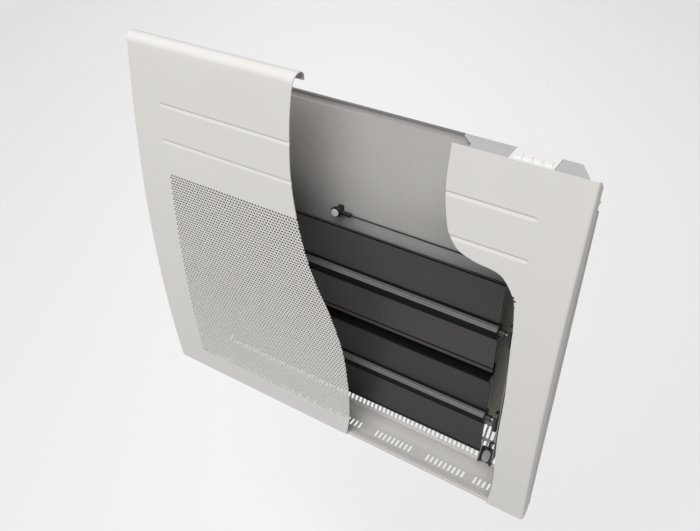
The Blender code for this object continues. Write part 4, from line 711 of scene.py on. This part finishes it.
def grille_sheet(material):
    """Bottom of the casing: lip, tray with slotted pads, slanted slotted rear and tab."""
    corner = SIDE_REACH - CORNER_RADIUS
    item = begin("grille_sheet", bpy.ops.mesh.primitive_plane_add, size=1,
                 stretch=(2 * SIDE_REACH, PAD_FRONT - TRAY_FRONT - LIP_RADIUS, 1),
                 location=(0, deep((PAD_FRONT + TRAY_FRONT + LIP_RADIUS) / 2), up(TRAY_LEVEL)))
    front, rear = deep(TRAY_FRONT + LIP_RADIUS), deep(PAD_FRONT)
    pick(item, "EDGE", lambda edge: middle(edge).y > rear - TINY)
    pull_to_depth(PAD_FRONT, SIDE_KNEE)
    pull_to_depth(SIDE_KNEE, PAD_BACK)
    pull_to_depth(PAD_BACK, SLANT_START)
    rise = slant_point(1)[1] - TRAY_LEVEL
    run = slant_point(1)[0] - SLANT_START
    pull_to_depth(SLANT_START, TAB_DEPTH, (TAB_DEPTH - SLANT_START) * rise / run)
    spans = pad_spans()
    cuts = [edge for start, end, count in spans for edge in (start, end)]
    for x in cuts + [-TAB_REACH, TAB_REACH]:
        pick(item, "VERT", lambda vert: True)
        bpy.ops.mesh.bisect(plane_co=(x, 0, 0), plane_no=(1, 0, 0))
    pick(item, "EDGE", lambda edge: edge.is_boundary and middle(edge).y > deep(TAB_DEPTH) - TINY
         and abs(middle(edge).x) < TAB_REACH)
    pull(z=TAB_HEIGHT)
    pick(item, "EDGE", lambda edge: edge.is_boundary and middle(edge).y < front + TINY)
    bpy.ops.transform.resize(value=(corner / SIDE_REACH, 1, 1), center_override=(0, 0, 0))
    bpy.ops.mesh.spin(steps=LIP_STEPS, angle=math.radians(90), axis=(-1, 0, 0),
                      center=(0, front, up(TRAY_LEVEL - LIP_RADIUS)))
    pull(z=TRAY_LIP - TRAY_LEVEL + LIP_RADIUS)
    pick(item, "FACE", lambda face: PAD_FRONT < face.calc_center_median().y + WALL_DEPTH < PAD_BACK
         and any(start < face.calc_center_median().x < end for start, end, count in spans))
    bpy.ops.mesh.inset(thickness=PAD_SLOPE, depth=-PAD_DROP, use_even_offset=False)
    close_edit()
    thicken(item, (0, 0, 1))
    for start, end, count in spans:
        half = (count - 1) / 2 * SLOT_PITCH
        centre = (start + end) / 2
        xs = [centre - half + SLOT_PITCH * step for step in range(count)]
        subtract(item, slot_cutters("slots", xs, (SLOT_WIDTH, SLOT_BACK - SLOT_FRONT, SLOT_CUTTER),
                                    (SLOT_FRONT + SLOT_BACK) / 2, TRAY_LEVEL))
    count = int(2 * REAR_SLOT_REACH / REAR_SLOT_PITCH) + 1
    xs = [(step - (count - 1) / 2) * REAR_SLOT_PITCH for step in range(count)]
    tilt = math.atan2(rise, run)
    for low, high in REAR_ROWS:
        depth, level = slant_point((low + high) / 2)
        row = [x for x in xs if abs(x) < min(REAR_SLOT_REACH, side_line(depth) - REAR_EDGE)]
        subtract(item, slot_cutters("slots", row, (REAR_SLOT_WIDTH, high - low, SLOT_CUTTER),
                                    depth, level, tilt))
    return finish_piece(item, material, "grille_enamel", "bottom_grille")


def refine(node, name, material, slot, edge):
    """Piece from a CAD node's shape: welded, its sharp edges rounded off and smoothed."""
    source = frame["nodes"][node]
    item = bpy.data.objects.new(name, source.data.copy())
    item.data.name = name
    bpy.context.scene.collection.objects.link(item)
    activate(item)
    pick(item, "VERT", lambda vert: True)
    bpy.ops.mesh.remove_doubles(threshold=WELD / 10)
    bpy.ops.mesh.dissolve_limited(angle_limit=FLAT)
    close_edit()
    if edge:
        change(item, "BEVEL", width=edge, segments=EDGE_STEPS, limit_method="ANGLE",
               angle_limit=SHARP)
    return finish_piece(item, material, slot, node, body=source["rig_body"])


def repaint(item, material, test):
    """Give the faces of a piece that pass a test a second finish."""
    item.data.materials.append(material)
    for face in item.data.polygons:
        if test(face):
            face.material_index = len(item.data.materials) - 1


def coat_plate(item, painted_shade_coat, painted_highlight):
    """Crisp facets on a plate: a painted highlight on the crest of its boss, painted shade in black
    round it and in the creases.
    """
    for vert in item.data.vertices:
        inside = any(abs(vert.co.z - up(level)) < TUBE_HALF for level in TUBE_LEVELS)
        if vert.co.y > deep(PLATE_BACK) + CREASE_DEEP and not inside:
            vert.co.x -= math.copysign(FIN_SETBACK, vert.co.x)
    activate(item)
    bpy.ops.object.shade_smooth_by_angle(angle=FACET)
    front = deep(PLATE_DEPTH)
    floor = front + CREASE_DEEP

    # Faces painted black as painted shade: the crease bed and walls, and the boss's underside and
    # top facet
    def dull(face):
        depth, lean = face.center.y, face.normal.z
        bed = abs(depth - floor) < TINY and face.normal.y < -0.5
        wall = abs(depth - (front + floor) / 2) < CREASE_DEEP / 4 and abs(lean) > 0.5
        return bed or wall or depth < front - TINY and not UNDERSIDE_LEAN < lean < BOSS_TOP

    repaint(item, painted_shade_coat, dull)
    repaint(item, painted_highlight, lambda face: face.center.y < front - TINY
            and CREST_LEAN < face.normal.z < BOSS_TOP)


def swell(item, x=1.0, y=1.0, z=1.0):
    """Scale a piece about its own middle."""
    low, high = (Vector(end(vert.co[axis] for vert in item.data.vertices) for axis in range(3))
                 for end in (min, max))
    centre = (low + high) / 2
    for vert in item.data.vertices:
        away = vert.co - centre
        vert.co = centre + Vector((away.x * x, away.y * y, away.z * z))


def sleeve_end(item):
    """Thicken the lower end of a lead, as the sleeve that holds it does."""
    start, stop = (up(level) for level in SLEEVE_LEVELS)
    for vert in item.data.vertices:
        share = min(1.0, max(0.0, (stop - vert.co.z) / (stop - start)))
        vert.co += vert.normal * SLEEVE_WALL * share


def studio():
    """Pale floor with a painted pool of light that darkens away from its middle, even sky and one
    soft lamp.
    """
    floor = begin("floor", bpy.ops.mesh.primitive_plane_add, size=FLOOR_SIZE,
                  location=(0, 0, FLOOR))
    pale, tree, shader, place = surface("white_floor_painted_light_pool", 0.8)
    # Painted pool of light: the floor's colour is palest at its middle
    spot = add(tree, "ShaderNodeMapping", {
        "Vector": place, "Location": (*FLOOR_MIDDLE, FLOOR), "Scale": (*FLOOR_SPREAD, 1.0),
        "Rotation": (0, 0, math.radians(FLOOR_TURN))}, vector_type="TEXTURE")
    away = add(tree, "ShaderNodeVectorMath", {0: spot.outputs[0]}, operation="LENGTH")
    painted_light_falloff = add(tree, "ShaderNodeMapRange", {0: away.outputs["Value"], 1: 0.0, 2: FLOOR_FADE})
    tinted(tree, shader, painted_light_falloff.outputs[0], "#f4f4f4", "#dedede")
    floor.data.materials.append(pale)
    floor.visible_diffuse = False
    sky = bpy.data.worlds.new("sky")
    bpy.context.scene.world = sky
    sky.use_nodes = True
    tree = sky.node_tree
    toward = add(tree, "ShaderNodeTexCoord").outputs["Generated"]
    height = add(tree, "ShaderNodeSeparateXYZ", {0: toward}).outputs["Z"]
    glow = add(tree, "ShaderNodeMapRange", {0: height, 1: -SKY_BLEND, 2: SKY_BLEND,
                                            3: SKY_BELOW, 4: SKY_ABOVE})
    tree.links.new(glow.outputs[0], tree.nodes["Background"].inputs["Strength"])
    tree.nodes["Background"].inputs["Color"].default_value = linear("#fbfbfc")
    data = bpy.data.lights.new("key", "SUN")
    data.energy = KEY_POWER
    data.angle = math.radians(KEY_SPREAD)
    lamp = bpy.data.objects.new("key", data)
    bpy.context.scene.collection.objects.link(lamp)
    lamp.rotation_euler = (math.radians(90 - KEY_HEIGHT), 0, math.radians(KEY_TURN))


place_camera()
bpy.context.scene.view_settings.view_transform = "Standard"
studio()

# Coated and bare sheet: warm white front, greyer tray, dull zinc behind, darker zinc as painted
# shade on the folded hem and the side brackets
enamel = powder_coat("powder_coated_steel", "#e1deda", "#e9e6e2", 2.2, 0.5)
tray_coat = powder_coat("epoxy_coated_steel", "#c1beba", "#c9c6c2", 1.8, 0.5)
casing = zinc_sheet("galvanised_steel_sheet", "#c0bdba", "#c9c6c3", 5.0, 0.5, 0.15)
# Darker zinc for the hem: painted shade
hem_painted_shade = zinc_sheet("zinc_hem_painted_shade", "#b1aeab", "#bab7b4", 5.0, 0.5, 0.15)
# Darker zinc for the side brackets: painted shade
side_bracket_painted_shade = zinc_sheet("zinc_bracket_sheet_painted_shade", "#9b978f", "#a7a39b", 5.0, 0.55, 0.3)
bracket = zinc_sheet("zinc_plated_bracket_steel", "#a8a8a8", "#bcbcbb", 6.0, 0.42, 0.8)

# Drawn and turned metal: near-black plates that catch little light, a painted highlight on the
# crests, beside a bright tube, cap and stud
plate = drawn_metal("black_anodised_extrusion", "#343031", "#3b3738", 0.45, DRAWN_FINE, 0.1)
# A darker copy of the plate finish for the lower plate: painted shade
plate_painted_shade = drawn_metal("black_anodised_extrusion_painted_shade", "#262223", "#2d292a", 0.45, DRAWN_FINE, 0.1)
# Paler ribbed crest of each boss: painted highlight
crest = ribbed_crest("anodised_crest_painted_highlight", "#3d3a3a", "#605d5d", 0.42, RIB_PITCH)
# The rail's own matt black, also put on the plates as painted shade
rail_black_and_painted_shade = drawn_metal("matt_black_channel_and_painted_shade", "#0b0909", "#110f0f", 0.7, DRAWN_FINE, 0.0)
rail_black_and_painted_shade.node_tree.nodes["Principled BSDF"].inputs["Specular IOR Level"].default_value = 0.12
element = drawn_metal("nickel_plated_element_tube", "#c9c3b4", "#dad5c8", 0.35, (30, 900, 900), 0.7)
bright = drawn_metal("satin_aluminium_cap", "#f2f1ef", "#f8f7f5", 0.5, (300, 60, 60), 0.1)
brass = drawn_metal("turned_brass", "#a8884a", "#c2a25f", 0.3, (900, 40, 900), 1.0)

# Plastics, rubber, ceramic and laminate: matt and grained, apart from the polished window
# Dark strip along the back panel's top edge: painted shade
painted_shade_strip = moulded("painted_shade_edge_strip", "#787572", "#83807d", 0.6)
ceramic = moulded("fired_steatite", "#23211f", "#302e2b", 0.45, 0.5, 0.1)
black = moulded("black_glass_filled_nylon", "#161616", "#202020", 0.45)
shell = moulded("grey_abs", "#b9b8b9", "#c2c1c2", 0.48)
sensor_grey = moulded("mid_grey_abs", "#767472", "#a3a19e", 0.55, 1.6, 0.8)
white = moulded("white_abs", "#edece8", "#f3f2ee", 0.4)
smoked = moulded("smoked_acrylic", "#0c1010", "#141919", 0.08, 4.0, 0.02, 1.49)
board = board_laminate("solder_masked_laminate")
silicone = moulded("silicone_sleeving", "#2c2826", "#383330", 0.6, 1.2, 0.2, 1.41)

front_sheet_left(enamel)
front_sheet_right(enamel)
grille_sheet(tray_coat)

CARRIED = (
    (casing, "casing_steel", 0.0003, ("back_panel", "side_panel_left", "side_panel_right")),
    # Side brackets in the darker zinc: painted shade
    (side_bracket_painted_shade, "casing_steel", 0.0003, ("side_bracket_left", "side_bracket_right")),
    (plate, "anodised_plate", 0.0003, ("upper_radiant_plate",)),
    # Lower plate in the darker copy of the plate finish: painted shade
    (plate_painted_shade, "anodised_plate", 0.0003, ("lower_radiant_plate",)),
    (rail_black_and_painted_shade, "anodised_plate", 0.0003, ("centre_rail",)),
    (element, "element_steel", 0.0, ("upper_element", "lower_element")),
    (ceramic, "ceramic", 0.0004, ("insulator_upper_left", "insulator_upper_right",
                                  "insulator_lower_left", "insulator_lower_right")),
    (black, "black_plastic", 0.0004, ("bush_upper_left", "bush_upper_right", "bush_lower_left",
                                      "bush_lower_right", "limiter_body", "limiter_holder",
                                      "limiter_sleeve", "sensor_holder", "sensor_lead", "relay",
                                      "power_rocker", "rocker_housing", "cable_gland")),
    (bright, "limiter_metal", 0.0002, ("limiter_cap",)),
    (silicone, "wire_silicone", 0.0, ("limiter_lead", "upper_lead", "lower_lead", "link_lead")),
    (sensor_grey, "sensor_plastic", 0.0008, ("sensor_probe",)),
    (shell, "box_plastic", 0.0005, ("control_box_body", "control_box_cover")),
    (white, "white_plastic", 0.0003, ("keypad_fascia", "key_minus", "key_plus", "key_mode",
                                      "key_confirm", "terminal_block", "lock_left",
                                      "lock_right")),
    (smoked, "window_plastic", 0.0003, ("display_window",)),
    (board, "board", 0.0001, ("circuit_board",)),
    (bracket, "bracket_steel", 0.0003, (
        "wall_bracket", "casing_screw_left_1", "casing_screw_left_2", "casing_screw_left_3",
        "casing_screw_right_1", "casing_screw_right_2", "casing_screw_right_3",
        "front_panel_screw_1", "front_panel_screw_2", "front_panel_screw_3")),
    (brass, "brass", 0.0002, ("earth_stud",)),
)

# Each carried piece starts from its CAD node and gets its finish
pieces = {}
for material, slot, edge, nodes in CARRIED:
    for node in nodes:
        pieces[node] = refine(node, node + "_finished", material, slot, edge)
for node in ("upper_radiant_plate", "lower_radiant_plate"):
    # Painted highlight on each boss crest, painted shade in black on its underside, top facet and
    # creases
    coat_plate(pieces[node], rail_black_and_painted_shade, crest)
# Painted shade: darker zinc on the hem's front faces and up-facing ledge
repaint(pieces["back_panel"], hem_painted_shade, lambda face: face.center.z > up(HEM_FOOT)
        and (face.normal.y < HEM_FRONT_LEAN or face.normal.z > HEM_TOP_LEAN))
# Painted shade: a dark strip along the back panel's top edge
repaint(pieces["back_panel"], painted_shade_strip, lambda face: face.center.z > up(BACK_TOP) - SHADE_STRIP_HEIGHT)
# The rail ends short of the plates, and sleeve, holder and keys have the size that shows
swell(pieces["centre_rail"], x=RAIL_SHRINK)
sleeve_end(pieces["sensor_lead"])
swell(pieces["limiter_sleeve"], y=SLEEVE_SWELL, z=SLEEVE_SWELL)
swell(pieces["limiter_holder"], x=HOLDER_SHRINK, z=HOLDER_SHRINK)
for node in ("key_minus", "key_plus", "key_mode", "key_confirm"):
    swell(pieces[node], *KEY_SWELL)
# The fascia's rear edge reaches the lid's
for vert in pieces["keypad_fascia"].data.vertices:
    if vert.co.y > deep(FASCIA_REAR) - SHEET:
        vert.co.y += LID_REAR - FASCIA_REAR
# Broad flat faces stay evenly lit up to their rounded edges
for piece in pieces.values():
    change(piece, "WEIGHTED_NORMAL", keep_sharp=True)
